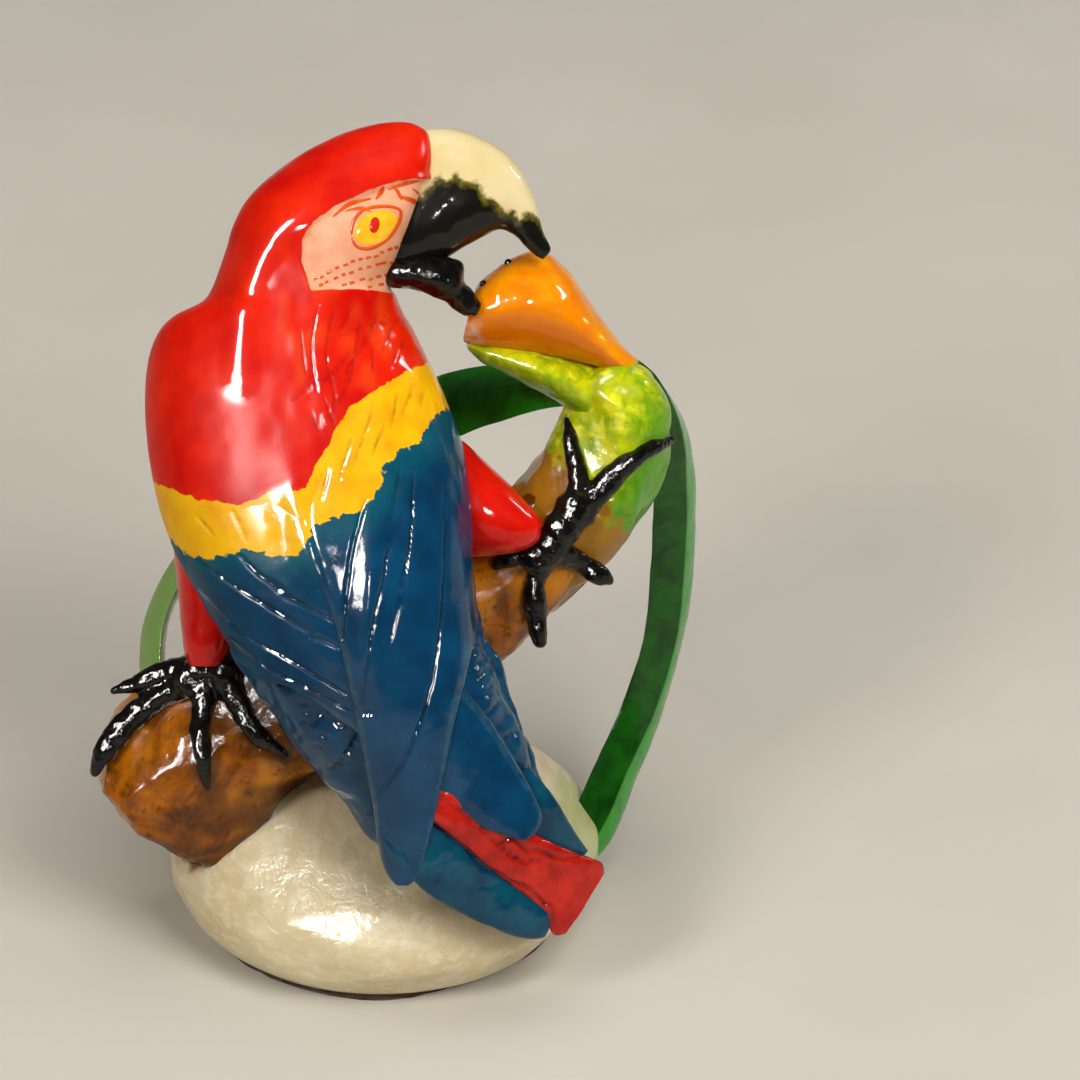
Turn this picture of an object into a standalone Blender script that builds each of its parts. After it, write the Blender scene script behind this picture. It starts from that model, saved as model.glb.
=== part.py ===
# A carved and painted macaw figurine: a scarlet macaw holds a branch, bites a flower bud, and the branch
# and two leaves stand in a polished nut base. Lengths are millimetres until the last step.
import math

import bmesh
import bpy
from mathutils import Matrix, Vector
from mathutils.bvhtree import BVHTree

MM = 0.001
# The bird, the branch and the bud share a plane that leans back by this angle from upright.
LEAN = math.radians(33.0)
# Clearance left all round where one member is let into another.
FIT = 0.3

BASE_HALF = (15.3, 14.5)
BASE_RISE = 7.0
BASE_MID = 4.0
SKIN_THICK = 0.8
SKIN_RIM = 0.85
BARK_POINTS = 18
BODY_POINTS = 26
PLATE_POINTS = 10

COLOURS = {
    "ivory": (0.80, 0.72, 0.52),
    "skin": (0.06, 0.03, 0.02),
    "bark": (0.45, 0.20, 0.03),
    "lime": (0.38, 0.50, 0.03),
    "green": (0.02, 0.16, 0.01),
    "orange": (0.85, 0.30, 0.01),
    "red": (0.62, 0.02, 0.01),
    "blue": (0.01, 0.10, 0.22),
    "cream": (0.80, 0.72, 0.42),
    "black": (0.01, 0.01, 0.008),
}


def clearScene():
    for thing in list(bpy.data.objects):
        bpy.data.objects.remove(thing, do_unlink=True)
    for group in list(bpy.data.collections):
        bpy.data.collections.remove(group)


def newCollection(name, hidden):
    group = bpy.data.collections.new(name)
    bpy.context.scene.collection.children.link(group)
    group.hide_render = hidden
    return group


def paint(name):
    material = bpy.data.materials.get(name)
    if material is None:
        material = bpy.data.materials.new(name)
        material.use_nodes = True
        shader = material.node_tree.nodes["Principled BSDF"]
        shader.inputs["Base Color"].default_value = (*COLOURS[name], 1.0)
        shader.inputs["Roughness"].default_value = 0.3
        material.diffuse_color = (*COLOURS[name], 1.0)
    return material


def catmull(keys, t):
    """Smooth value through the rows of keys at t, counted in rows."""
    last = len(keys) - 1
    i = min(int(t), last - 1)
    f = t - i
    rows = [keys[max(i - 1, 0)], keys[i], keys[i + 1], keys[min(i + 2, last)]]
    out = []
    for a, b, c, d in zip(*rows):
        bend = 2 * a - 5 * b + 4 * c - d
        out.append(0.5 * (2 * b + (c - a) * f + bend * f * f + (3 * b - a - 3 * c + d) * f ** 3))
    return out


def along(keys, steps):
    count = (len(keys) - 1) * steps
    return [catmull(keys, i / steps) for i in range(count + 1)]


def rounded(angle, power):
    c = math.cos(angle)
    s = math.sin(angle)
    return (
        math.copysign(abs(c) ** (2 / power), c),
        math.copysign(abs(s) ** (2 / power), s),
    )


def loft(name, rings, group, colour=None):
    """One closed body through rings that all have the same number of points."""
    mesh = bmesh.new()
    loops = [[mesh.verts.new(point) for point in ring] for ring in rings]
    for low, high in zip(loops, loops[1:]):
        for i in range(len(low)):
            j = (i + 1) % len(low)
            mesh.faces.new((low[i], low[j], high[j], high[i]))
    for loop in (loops[0], loops[-1]):
        middle = mesh.verts.new(sum((v.co for v in loop), Vector()) / len(loop))
        for i in range(len(loop)):
            mesh.faces.new((loop[i], loop[(i + 1) % len(loop)], middle))
    bmesh.ops.recalc_face_normals(mesh, faces=mesh.faces)
    if mesh.calc_volume(signed=True) < 0:
        bmesh.ops.reverse_faces(mesh, faces=mesh.faces)
    return addObject(name, mesh, group, colour)


def addObject(name, mesh, group, colour=None):
    for face in mesh.faces:
        face.smooth = True
    data = bpy.data.meshes.new(name)
    mesh.to_mesh(data)
    mesh.free()
    thing = bpy.data.objects.new(name, data)
    group.objects.link(thing)
    if colour:
        data.materials.append(paint(colour))
    return thing


def spanRing(left, right, near, far, points, power):
    """A rounded ring whose width runs from left to right, near and far being its two half depths."""
    middle = (Vector(left) + Vector(right)) / 2
    half = (Vector(right) - Vector(left)) / 2
    ring = []
    for i in range(points):
        c, s = rounded(2 * math.pi * i / points, power)
        depth = -near * s if s > 0 else -far * s
        ring.append(middle + half * c + Vector((0, depth, 0)))
    return ring


def spanLoft(name, keys, steps, points, power, group, colour):
    """keys: left end, right end and half depth of each station."""
    flat = [(*a, *b, h) for a, b, h in keys]
    rings = []
    for row in along(flat, steps):
        h = max(row[6], 0.15)
        rings.append(spanRing(row[0:3], row[3:6], h, h, points, power))
    return loft(name, rings, group, colour)


def pathLoft(name, keys, steps, points, power, group, colour):
    """keys: centre, width direction, half width and half thickness of each station."""
    rows = along([(*c, *w, a, b) for c, w, a, b in keys], steps)
    rings = []
    for i, row in enumerate(rows):
        after = Vector(rows[min(i + 1, len(rows) - 1)][0:3])
        before = Vector(rows[max(i - 1, 0)][0:3])
        tangent = (after - before).normalized()
        wide = Vector(row[3:6])
        wide = (wide - tangent * wide.dot(tangent)).normalized()
        thin = tangent.cross(wide)
        ring = []
        for k in range(points):
            c, s = rounded(2 * math.pi * k / points, power)
            ring.append(Vector(row[0:3]) + wide * (c * row[6]) + thin * (s * row[7]))
        rings.append(ring)
    return loft(name, rings, group, colour)


def bake(thing):
    graph = bpy.context.evaluated_depsgraph_get()
    fresh = bpy.data.meshes.new_from_object(thing.evaluated_get(graph))
    thing.modifiers.clear()
    old = thing.data
    thing.data = fresh
    bpy.data.meshes.remove(old)
    fresh.name = thing.name


def largestBody(thing):
    """Drops chips that a cut has parted from the member."""
    mesh = bmesh.new()
    mesh.from_mesh(thing.data)
    bmesh.ops.remove_doubles(mesh, verts=mesh.verts, dist=0.002)
    bmesh.ops.dissolve_degenerate(mesh, edges=mesh.edges, dist=0.002)
    unseen = set(mesh.verts)
    bodies = []
    while unseen:
        stack = [unseen.pop()]
        body = set(stack)
        while stack:
            for edge in stack.pop().link_edges:
                for vert in edge.verts:
                    if vert in unseen:
                        unseen.discard(vert)
                        body.add(vert)
                        stack.append(vert)
        bodies.append(body)
    bodies.sort(key=len)
    for body in bodies[:-1]:
        bmesh.ops.delete(mesh, geom=list(body), context="VERTS")
    mesh.to_mesh(thing.data)
    mesh.free()


def grown(thing, by=FIT):
    """A helper a little larger all round than the member, used to cut its seat."""
    mesh = bmesh.new()
    mesh.from_mesh(thing.data)
    mesh.normal_update()
    moves = [(vert, vert.normal.copy()) for vert in mesh.verts]
    for vert, normal in moves:
        vert.co += normal * by
    helper = addObject(thing.name + "_seat", mesh, cutters)
    helper.hide_render = True
    helper.display_type = "WIRE"
    return helper


def volumeOf(data):
    mesh = bmesh.new()
    mesh.from_mesh(data)
    volume = mesh.calc_volume(signed=True)
    mesh.free()
    return volume


def letIn(thing, *seats):
    """Cuts the seats of other members into one member."""
    for seat in seats:
        before = thing.data.copy()
        whole = volumeOf(before)
        for careful in (False, True):
            cut = thing.modifiers.new("seat", "BOOLEAN")
            cut.operation = "DIFFERENCE"
            cut.solver = "EXACT"
            cut.use_self = careful
            cut.object = seat
            bake(thing)
            left = volumeOf(thing.data)
            if 0.4 * whole < left < 1.02 * whole:
                break
            thing.data = before.copy()
        else:
            print("seat not cut:", thing.name, seat.name)
        bpy.data.meshes.remove(before)
        largestBody(thing)


def fuse(thing, *pieces):
    for piece in pieces:
        join = thing.modifiers.new("fuse", "BOOLEAN")
        join.operation = "UNION"
        join.solver = "EXACT"
        join.object = piece
        bake(thing)
        bpy.data.objects.remove(piece, do_unlink=True)


clearScene()
parts = newCollection("macaw_figurine", False)
cutters = newCollection("cutters", True)

# Height up the leaning plane, left and right edge, middle depth, near and far half depth of the bird.
bodyStations = [
    (53.5, 0.7, 2.0, -19.0, 0.6, 0.6),
    (52.9, -2.2, 3.2, -19.0, 2.2, 2.2),
    (51.5, -5.3, 3.8, -19.0, 3.6, 3.6),
    (49.4, -7.9, 3.6, -19.0, 4.7, 4.7),
    (46.4, -9.8, 2.5, -19.0, 5.3, 5.3),
    (43.6, -10.8, 1.4, -18.5, 5.5, 5.4),
    (41.9, -11.5, 1.2, -18.0, 5.8, 5.6),
    (40.7, -13.2, 1.7, -17.5, 6.5, 6.2),
    (39.0, -15.2, 2.7, -17.0, 7.1, 6.8),
    (36.5, -15.8, 3.9, -17.0, 7.7, 7.2),
    (33.0, -15.8, 5.3, -17.0, 8.1, 7.0),
    (29.0, -15.3, 6.3, -17.3, 8.0, 5.6),
    (25.0, -14.1, 6.5, -17.6, 7.5, 4.0),
    (21.0, -12.1, 6.7, -17.8, 6.8, 3.2),
    (17.0, -9.6, 7.6, -18.0, 5.9, 2.8),
    (13.0, -7.0, 9.3, -18.0, 4.8, 2.2),
    (9.0, -4.0, 11.1, -17.6, 3.7, 1.6),
    (5.0, -1.0, 12.7, -17.2, 2.9, 1.2),
    (1.0, 0.2, 14.0, -16.8, 2.4, 1.0),
]
TORSO_STATIONS = 16
BACK_POWER = 2.3
# Below the shoulder line the torso is slimmer at each side and at the back, so that the wings lie over it.
SHOULDER_LINE = 40.6
UNDER_WING = 0.6
UNDER_BACK = 2.9


def stationAt(height):
    rows = bodyStations
    for i in range(len(rows) - 1):
        if height >= rows[i + 1][0] or i == len(rows) - 2:
            t = (rows[i][0] - height) / (rows[i][0] - rows[i + 1][0])
            return catmull(rows, i + min(max(t, 0.0), 1.0))


def backDepth(x, height):
    """Depth of the bird's rounded back at a place on the leaning plane."""
    row = stationAt(height)
    u = abs(x - (row[1] + row[2]) / 2) / ((row[2] - row[1]) / 2)
    rise = max(1 - min(u, 1.0) ** BACK_POWER, 0.0) ** (1 / BACK_POWER)
    return row[3] - row[4] * rise


def plate(name, keys, steps, group, colour, grow=0.0):
    """A shell on the bird's back. keys: left x and height, right x and height, lift, thickness."""
    rings = []
    rows = along(keys, steps)
    if grow:
        first = [value + shift for value, shift in zip(rows[0], (0, grow, 0, grow, 0, 0))]
        last = [value - shift for value, shift in zip(rows[-1], (0, grow, 0, grow, 0, 0))]
        rows = [first, *rows, last]
    for row in rows:
        outer = []
        inner = []
        left = row[0] - grow
        right = row[2] + grow
        for k in range(PLATE_POINTS):
            t = 0.5 - 0.5 * math.cos(math.pi * k / (PLATE_POINTS - 1))
            x = left + (right - left) * t
            height = row[1] + (row[3] - row[1]) * t
            edge = math.sin(math.pi * min(max(t, 0.06), 0.94)) ** 0.5
            depth = backDepth(x, height) - row[4] * (0.55 + 0.45 * edge) - grow
            outer.append(Vector((x, depth, height)))
            thick = row[5] * (0.35 + 0.65 * edge) + 2 * grow
            inner.append(Vector((x, depth + thick, height)))
        rings.append(outer + inner[::-1])
    return loft(name, rings, group, colour)


def plateSeat(name, keys, steps):
    helper = plate(name + "_seat", keys, steps, cutters, None, 1.5 * FIT)
    helper.hide_render = True
    helper.display_type = "WIRE"
    return helper


# The nut: an ivory dome with a thin ring of dark skin left under it.
def nutRing(z, scale):
    ring = []
    for i in range(40):
        a = 2 * math.pi * i / 40
        x = BASE_HALF[0] * scale * math.cos(a)
        ring.append(Vector((x, BASE_HALF[1] * scale * math.sin(a), z)))
    return ring


def domeScale(z):
    return math.sqrt(max(1 - ((z - BASE_MID) / BASE_RISE) ** 2, 0.0))


domeHeights = [SKIN_THICK + FIT, 1.8, 2.8, 4.0, 5.4, 6.8, 8.1, 9.2, 10.0, 10.6, 10.9]
nutBase = loft("nut_base", [nutRing(z, domeScale(z)) for z in domeHeights], parts, "ivory")
skinRows = [(0.0, SKIN_RIM - 0.03), (0.25, SKIN_RIM + 0.01), (SKIN_THICK, SKIN_RIM + 0.02)]
nutSkin = loft("nut_skin", [nutRing(z, s) for z, s in skinRows], parts, "skin")

# The branch climbs from a broad foot on the left to the green stem on the right.
branchStations = [
    ((-19.6, -9.2, 9.4), (-15.9, -9.2, 4.6), 3.4),
    ((-19.9, -9.0, 11.6), (-14.0, -9.0, 2.9), 4.9),
    ((-18.6, -8.6, 14.0), (-11.2, -8.6, 2.9), 5.5),
    ((-14.2, -8.5, 16.6), (-6.8, -8.5, 6.8), 5.3),
    ((-3.6, -9.0, 21.6), (1.3, -9.0, 12.6), 4.8),
    ((4.0, -9.5, 26.2), (7.4, -9.5, 16.6), 4.6),
    ((9.1, -10.0, 29.4), (12.5, -10.0, 20.3), 4.5),
    ((10.7, -10.3, 30.9), (15.4, -10.3, 23.0), 4.4),
]
branch = spanLoft("branch", branchStations, 3, BARK_POINTS, 2.2, parts, "bark")

stemStations = [
    ((10.6, -10.5, 31.0), (15.8, -10.5, 23.3), 4.3),
    ((11.9, -11.0, 32.8), (19.1, -11.0, 28.0), 4.3),
    ((12.9, -12.0, 34.7), (20.4, -12.0, 32.1), 3.9),
    ((13.6, -13.0, 35.9), (19.5, -13.0, 35.2), 3.3),
    ((14.4, -13.5, 36.7), (18.0, -13.5, 37.1), 2.2),
]
stem = spanLoft("stem", stemStations, 3, BARK_POINTS, 2.3, parts, "lime")
sepalStations = [
    ((6.0, -14.0, 38.7), (6.0, -14.0, 38.0), 1.2),
    ((9.0, -14.0, 38.4), (9.0, -14.0, 37.3), 2.0),
    ((11.8, -13.2, 37.9), (11.8, -13.2, 35.7), 2.4),
    ((15.5, -12.6, 36.8), (15.5, -12.6, 33.6), 2.8),
]
sepal = spanLoft("sepal", sepalStations, 3, 12, 2.2, parts, "lime")

budStations = [
    ((6.9, -15.5, 42.2), (6.0, -15.5, 39.2), 2.2),
    ((8.7, -15.5, 44.2), (8.3, -15.5, 38.6), 3.5),
    ((11.6, -15.5, 44.9), (11.4, -15.4, 38.0), 3.9),
    ((13.9, -15.0, 42.4), (13.8, -15.0, 37.7), 3.2),
    ((15.9, -14.5, 39.7), (15.5, -14.5, 36.9), 2.3),
    ((17.6, -14.0, 38.0), (16.6, -14.0, 36.4), 1.4),
]
bud = spanLoft("flower_bud", budStations, 3, 18, 2.2, parts, "orange")

leafRightStations = [
    ((17.2, -13.2, 37.4), (0.2, 1.0, 0.0), 1.2, 0.6),
    ((18.9, -11.5, 35.6), (0.2, 1.0, 0.1), 2.2, 1.1),
    ((20.3, -8.6, 32.6), (0.35, 0.9, 0.3), 2.5, 1.2),
    ((21.0, -5.2, 28.6), (0.45, 0.85, 0.3), 2.5, 1.2),
    ((21.0, -2.2, 23.6), (0.5, 0.85, 0.2), 2.4, 1.1),
    ((20.2, 0.6, 18.0), (0.5, 0.85, 0.2), 2.3, 1.1),
    ((18.7, 1.8, 13.0), (0.5, 0.85, 0.0), 2.2, 1.1),
    ((16.7, 1.2, 8.6), (0.5, 0.85, -0.1), 2.1, 1.1),
    ((14.9, -0.4, 4.8), (0.5, 0.85, -0.2), 1.9, 1.0),
    ((13.0, -1.8, 2.4), (0.5, 0.85, -0.2), 1.5, 0.8),
]
leafRight = pathLoft("leaf_right", leafRightStations, 3, 10, 1.7, parts, "green")

leafLeftStations = [
    ((15.0, -12.0, 35.4), (0.1, 0.4, 0.9), 1.0, 0.6),
    ((11.5, -9.5, 36.1), (0.1, 0.5, 0.86), 1.9, 0.8),
    ((8.0, -7.0, 35.6), (0.1, 0.5, 0.86), 2.5, 0.9),
    ((3.6, -4.0, 34.4), (0.0, 0.5, 0.86), 2.8, 0.9),
    ((-2.5, -0.8, 32.0), (0.0, 0.6, 0.8), 2.8, 0.9),
    ((-9.0, 1.6, 28.6), (-0.1, 0.8, 0.6), 2.6, 0.9),
    ((-14.2, 2.6, 23.8), (-0.2, 0.95, 0.2), 2.4, 0.9),
    ((-16.6, 2.6, 18.8), (-0.3, 0.95, 0.0), 2.3, 0.9),
    ((-16.4, 1.8, 13.4), (-0.3, 0.95, 0.0), 2.2, 0.9),
    ((-14.6, 0.8, 8.8), (-0.3, 0.95, 0.0), 2.1, 0.9),
    ((-12.3, 0.0, 5.6), (-0.3, 0.95, 0.0), 1.7, 0.8),
]
leafLeft = pathLoft("leaf_left", leafLeftStations, 3, 10, 1.7, parts, "green")

# The bird.
torsoRings = []
for row in along(bodyStations[:TORSO_STATIONS], 4):
    shoulder = min(max((SHOULDER_LINE - row[0]) / 0.7, 0.0), 1.0)
    lower = min(max((25.5 - row[0]) / 4.0, 0.0), 1.0)
    inset = (UNDER_WING + lower) * shoulder
    left = (row[1] + inset, row[3], row[0])
    right = (row[2] - inset, row[3], row[0])
    near = max(row[4] - (UNDER_BACK + 1.5 * lower) * shoulder, 0.4)
    torsoRings.append(spanRing(left, right, near, row[5], BODY_POINTS, BACK_POWER))
body = loft("macaw_body", torsoRings, parts, "red")

upperBeakStations = [
    ((1.6, -19.0, 52.4), (0.4, -19.0, 44.4), 2.8),
    ((3.4, -19.0, 53.1), (2.2, -19.0, 44.1), 3.1),
    ((6.0, -19.0, 52.9), (4.3, -19.0, 44.6), 2.8),
    ((8.3, -19.0, 51.4), (7.0, -19.0, 45.9), 2.2),
    ((10.0, -19.0, 49.0), (8.9, -19.0, 46.1), 1.5),
    ((11.1, -19.0, 46.8), (9.9, -19.0, 45.6), 0.8),
    ((11.6, -19.0, 45.6), (11.0, -19.0, 45.1), 0.4),
]
upperBeak = spanLoft("upper_beak", upperBeakStations, 2, 14, 2.2, parts, "cream")

lowerBeakStations = [
    ((0.6, -19.0, 43.6), (0.2, -19.0, 42.4), 1.8),
    ((1.8, -19.0, 43.7), (1.6, -19.0, 42.3), 2.1),
    ((3.6, -19.0, 43.8), (3.2, -19.0, 42.0), 2.0),
    ((5.7, -19.0, 43.6), (4.9, -19.0, 41.7), 1.6),
    ((6.2, -19.0, 42.4), (5.7, -19.0, 40.9), 1.0),
    ((6.9, -19.0, 41.3), (6.6, -19.0, 40.6), 0.5),
]
lowerBeak = spanLoft("lower_beak", lowerBeakStations, 2, 12, 2.2, parts, "black")

# Left x and height, right x and height, lift above the back, thickness.
wingRightStations = [
    (-4.6, 39.3, 2.4, 39.3, 0.0, 1.6),
    (-4.8, 37.5, 3.3, 37.5, 0.1, 2.1),
    (-4.9, 34.4, 4.8, 34.4, 0.2, 2.3),
    (-4.9, 31.0, 5.9, 31.0, 0.3, 2.4),
    (-4.6, 28.0, 6.3, 28.0, 0.5, 2.3),
    (-3.7, 24.0, 6.5, 24.0, 0.8, 2.0),
    (-2.8, 20.0, 6.7, 20.0, 1.0, 1.5),
    (-2.2, 17.0, 6.2, 17.0, 1.1, 1.3),
    (-1.4, 14.0, 5.6, 14.0, 1.1, 1.3),
    (-0.8, 10.8, 4.9, 10.8, 1.1, 1.3),
    (-0.2, 7.4, 4.2, 7.4, 1.1, 1.3),
    (0.5, 4.0, 3.3, 4.0, 1.0, 1.2),
    (1.1, 2.2, 2.2, 2.2, 0.9, 1.0),
]
wingRight = plate("wing_right", wingRightStations, 2, parts, "blue")
wingRightSeat = plateSeat("wing_right", wingRightStations, 2)

wingLeftStations = [
    (-14.7, 39.2, -5.0, 39.4, 0.0, 1.6),
    (-15.4, 37.5, -5.1, 37.8, 0.1, 2.1),
    (-15.75, 34.0, -5.1, 35.0, 0.2, 2.3),
    (-15.5, 30.0, -4.6, 31.0, 0.3, 2.3),
    (-14.5, 26.0, -2.6, 26.8, 0.35, 2.3),
    (-12.7, 22.2, -0.4, 23.0, 0.35, 2.2),
    (-10.5, 18.6, 1.8, 19.5, 0.35, 2.0),
    (-8.2, 15.4, 4.4, 17.0, 0.35, 1.9),
    (-5.2, 14.2, 6.8, 14.6, 0.35, 1.8),
    (-1.8, 12.4, 8.4, 12.2, 0.35, 1.7),
    (1.6, 9.8, 9.9, 9.7, 0.35, 1.7),
    (4.3, 7.4, 10.9, 7.7, 0.35, 1.6),
    (7.2, 5.7, 11.2, 6.2, 0.35, 1.3),
    (9.2, 4.9, 10.6, 5.1, 0.3, 1.0),
]
wingLeft = plate("wing_left", wingLeftStations, 2, parts, "blue")
wingLeftSeat = plateSeat("wing_left", wingLeftStations, 2)

covertStations = [
    (-9.6, 16.9, 6.9, 20.6, -0.8, 2.2),
    (-7.8, 14.2, 8.0, 17.6, -0.8, 2.4),
    (-5.2, 10.5, 9.7, 12.9, -0.8, 2.4),
    (-2.5, 6.9, 11.1, 9.1, -0.8, 2.2),
    (-0.4, 4.2, 11.9, 7.0, -0.8, 1.8),
    (1.0, 3.3, 11.3, 5.9, -0.8, 1.2),
]
coverts = plate("tail_coverts", covertStations, 3, parts, "blue")

featherCentreStations = [
    ((5.9, -17.4, 9.1), (3.5, -17.4, 6.4), 0.6),
    ((8.3, -16.9, 6.8), (5.7, -16.9, 4.5), 0.7),
    ((11.1, -16.2, 4.7), (8.3, -16.2, 2.3), 0.75),
    ((14.5, -15.1, 3.4), (11.6, -15.1, -0.6), 0.8),
    ((15.4, -14.6, 2.2), (12.9, -14.6, -1.9), 0.6),
]
featherCentre = spanLoft("tail_feather_centre", featherCentreStations, 2, 12, 3.0, parts, "red")
featherLeftStations = [
    ((3.8, -16.2, 5.4), (1.9, -16.2, 2.7), 0.6),
    ((5.6, -16.3, 4.0), (3.5, -16.3, 1.0), 0.8),
    ((9.0, -16.2, 1.2), (7.0, -16.2, -1.0), 0.8),
    ((11.2, -15.3, -0.3), (10.2, -15.3, -1.8), 0.6),
    ((11.9, -15.1, -1.0), (11.4, -15.1, -1.8), 0.45),
]
featherLeft = spanLoft("tail_feather_left", featherLeftStations, 2, 12, 3.0, parts, "blue")
featherRightStations = [
    ((10.7, -16.6, 9.4), (8.3, -16.6, 7.4), 0.8),
    ((12.2, -16.1, 6.5), (10.2, -16.1, 4.7), 0.8),
    ((13.6, -15.1, 4.7), (12.4, -15.1, 3.3), 0.6),
    ((14.5, -14.7, 3.7), (14.2, -14.7, 3.0), 0.3),
]
featherRight = spanLoft("tail_feather_right", featherRightStations, 2, 12, 3.0, parts, "blue")

thighRightStations = [
    ((4.2, -15.5, 31.6), (4.2, -15.5, 24.2), 3.4),
    ((6.3, -15.5, 31.2), (6.8, -15.5, 23.8), 3.3),
    ((8.7, -16.0, 29.3), (8.7, -16.0, 23.7), 2.9),
    ((10.3, -16.3, 27.6), (10.0, -16.3, 24.2), 2.2),
    ((11.2, -16.4, 26.5), (11.0, -16.4, 25.0), 1.2),
]
thighRight = spanLoft("thigh_right", thighRightStations, 3, 16, 2.2, parts, "red")
thighLeftStations = [
    ((-13.6, -14.0, 24.4), (-9.6, -14.0, 24.4), 2.4),
    ((-13.9, -14.0, 21.5), (-10.2, -14.0, 21.5), 2.4),
    ((-13.6, -14.0, 18.8), (-10.8, -14.0, 18.8), 2.0),
    ((-13.1, -14.0, 17.2), (-11.2, -14.0, 17.2), 1.3),
]
thighLeft = spanLoft("thigh_left", thighLeftStations, 3, 14, 2.2, parts, "red")

# Toes follow the bark: each centre line is dropped on to the wood and rests there.
branchSeat = grown(branch)
stemSeat = grown(stem)
sepalSeat = grown(sepal)
fuse(stem, sepal)
letIn(stem, branchSeat)
wood = bmesh.new()
wood.from_mesh(branch.data)
wood.from_mesh(stem.data)
woodTree = BVHTree.FromBMesh(wood)
wood.free()


def onWood(x, height, radius, fallback):
    hit = woodTree.ray_cast(Vector((x, -40.0, height)), Vector((0, 1, 0)))[0]
    depth = fallback if hit is None else min(hit.y, fallback)
    return Vector((x, depth - radius * 0.75, height))


def toe(name, path, thick, fallback):
    keys = []
    for i, (x, height) in enumerate(path):
        radius = thick * (1.0 - 0.42 * i / (len(path) - 1))
        keys.append((*onWood(x, height, radius, fallback), radius))
    rows = along(keys, 3)
    rings = []
    for i, row in enumerate(rows):
        tangent = Vector(rows[min(i + 1, len(rows) - 1)][0:3]) - Vector(rows[max(i - 1, 0)][0:3])
        tangent.normalize()
        side = tangent.cross(Vector((0, 1, 0))).normalized()
        up = side.cross(tangent)
        ring = []
        for k in range(10):
            a = 2 * math.pi * k / 10
            ring.append(Vector(row[0:3]) + (side * math.cos(a) + up * math.sin(a)) * row[3])
        rings.append(ring)
    return loft(name, rings, parts)


def knuckle(centre, radius):
    mesh = bmesh.new()
    bmesh.ops.create_uvsphere(mesh, u_segments=12, v_segments=8, radius=radius)
    bmesh.ops.translate(mesh, verts=mesh.verts, vec=centre)
    return addObject("knuckle", mesh, parts)


def foot(name, hub, hubRadius, toes, thick, fallback):
    centre = onWood(*hub, hubRadius, fallback)
    ball = knuckle(centre, hubRadius)
    ball.name = name
    ball.data.materials.append(paint("black"))
    fuse(ball, *[toe("toe", path, thick, fallback) for path in toes])
    return ball


rightToes = [
    [(13.0, 26.4), (13.5, 29.5), (12.9, 32.6)],
    [(13.0, 26.4), (15.3, 28.8), (17.8, 30.8), (19.4, 31.6)],
    [(12.8, 25.6), (14.4, 23.8), (15.5, 22.8)],
    [(12.4, 25.4), (11.7, 21.6), (11.1, 19.2)],
    [(12.6, 25.8), (10.6, 24.0), (8.6, 23.0)],
]
footRight = foot("foot_right", (12.9, 26.0), 1.6, rightToes, 0.85, -13.0)
leftToes = [
    [(-12.0, 16.0), (-14.6, 15.7), (-17.6, 14.3)],
    [(-12.2, 15.8), (-15.8, 14.0), (-18.4, 11.6), (-19.3, 9.8)],
    [(-12.0, 15.8), (-12.1, 12.0), (-11.9, 8.8)],
    [(-11.8, 15.8), (-9.6, 12.6), (-7.4, 10.6)],
]
footLeft = foot("foot_left", (-12.0, 15.8), 1.6, leftToes, 0.9, -12.0)

# Lean the shared plane back, then seat the members in one another.
tilt = Matrix.Rotation(-LEAN, 4, "X")
upright = (nutBase, nutSkin)
for thing in parts.objects:
    if thing not in upright:
        thing.data.transform(tilt)
for thing in cutters.objects:
    thing.data.transform(tilt)
plates = (branch, stem, wingLeft, wingRight, coverts)
seats = {thing.name: grown(thing) for thing in parts.objects if thing not in plates}
overBark = [branchSeat, stemSeat, sepalSeat]
wings = [wingRightSeat, wingLeftSeat]
beaks = [seats["upper_beak"], seats["lower_beak"]]
thighs = [seats["thigh_right"], seats["thigh_left"]]

letIn(nutBase, branchSeat, seats["leaf_left"], seats["leaf_right"])
letIn(leafRight, *overBark)
letIn(bud, stemSeat, sepalSeat, seats["leaf_right"], *beaks)
letIn(leafLeft, *overBark, seats["flower_bud"])
letIn(wingLeft, wingRightSeat)
letIn(thighRight, *overBark, wingRightSeat)
letIn(thighLeft, branchSeat, wingLeftSeat)
letIn(upperBeak, seats["lower_beak"])
letIn(coverts, *wings, seats["tail_feather_centre"], seats["tail_feather_right"])
letIn(featherLeft, seats["tail_feather_centre"], *wings)
letIn(featherRight, seats["tail_feather_centre"], *wings)
letIn(featherCentre, *wings)
letIn(body, branchSeat, *thighs, *beaks)
letIn(footRight, *overBark, seats["thigh_right"], seats["leaf_right"])
letIn(footLeft, branchSeat, seats["thigh_left"], wingLeftSeat)

for thing in list(cutters.objects):
    bpy.data.objects.remove(thing, do_unlink=True)
for thing in parts.objects:
    thing.data.transform(Matrix.Scale(MM, 4))
    for face in thing.data.polygons:
        face.use_smooth = True
print("nodes:", len(parts.objects))
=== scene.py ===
import math

import bmesh
import bpy
import numpy as np
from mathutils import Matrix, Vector
from mathutils.bvhtree import BVHTree


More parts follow.
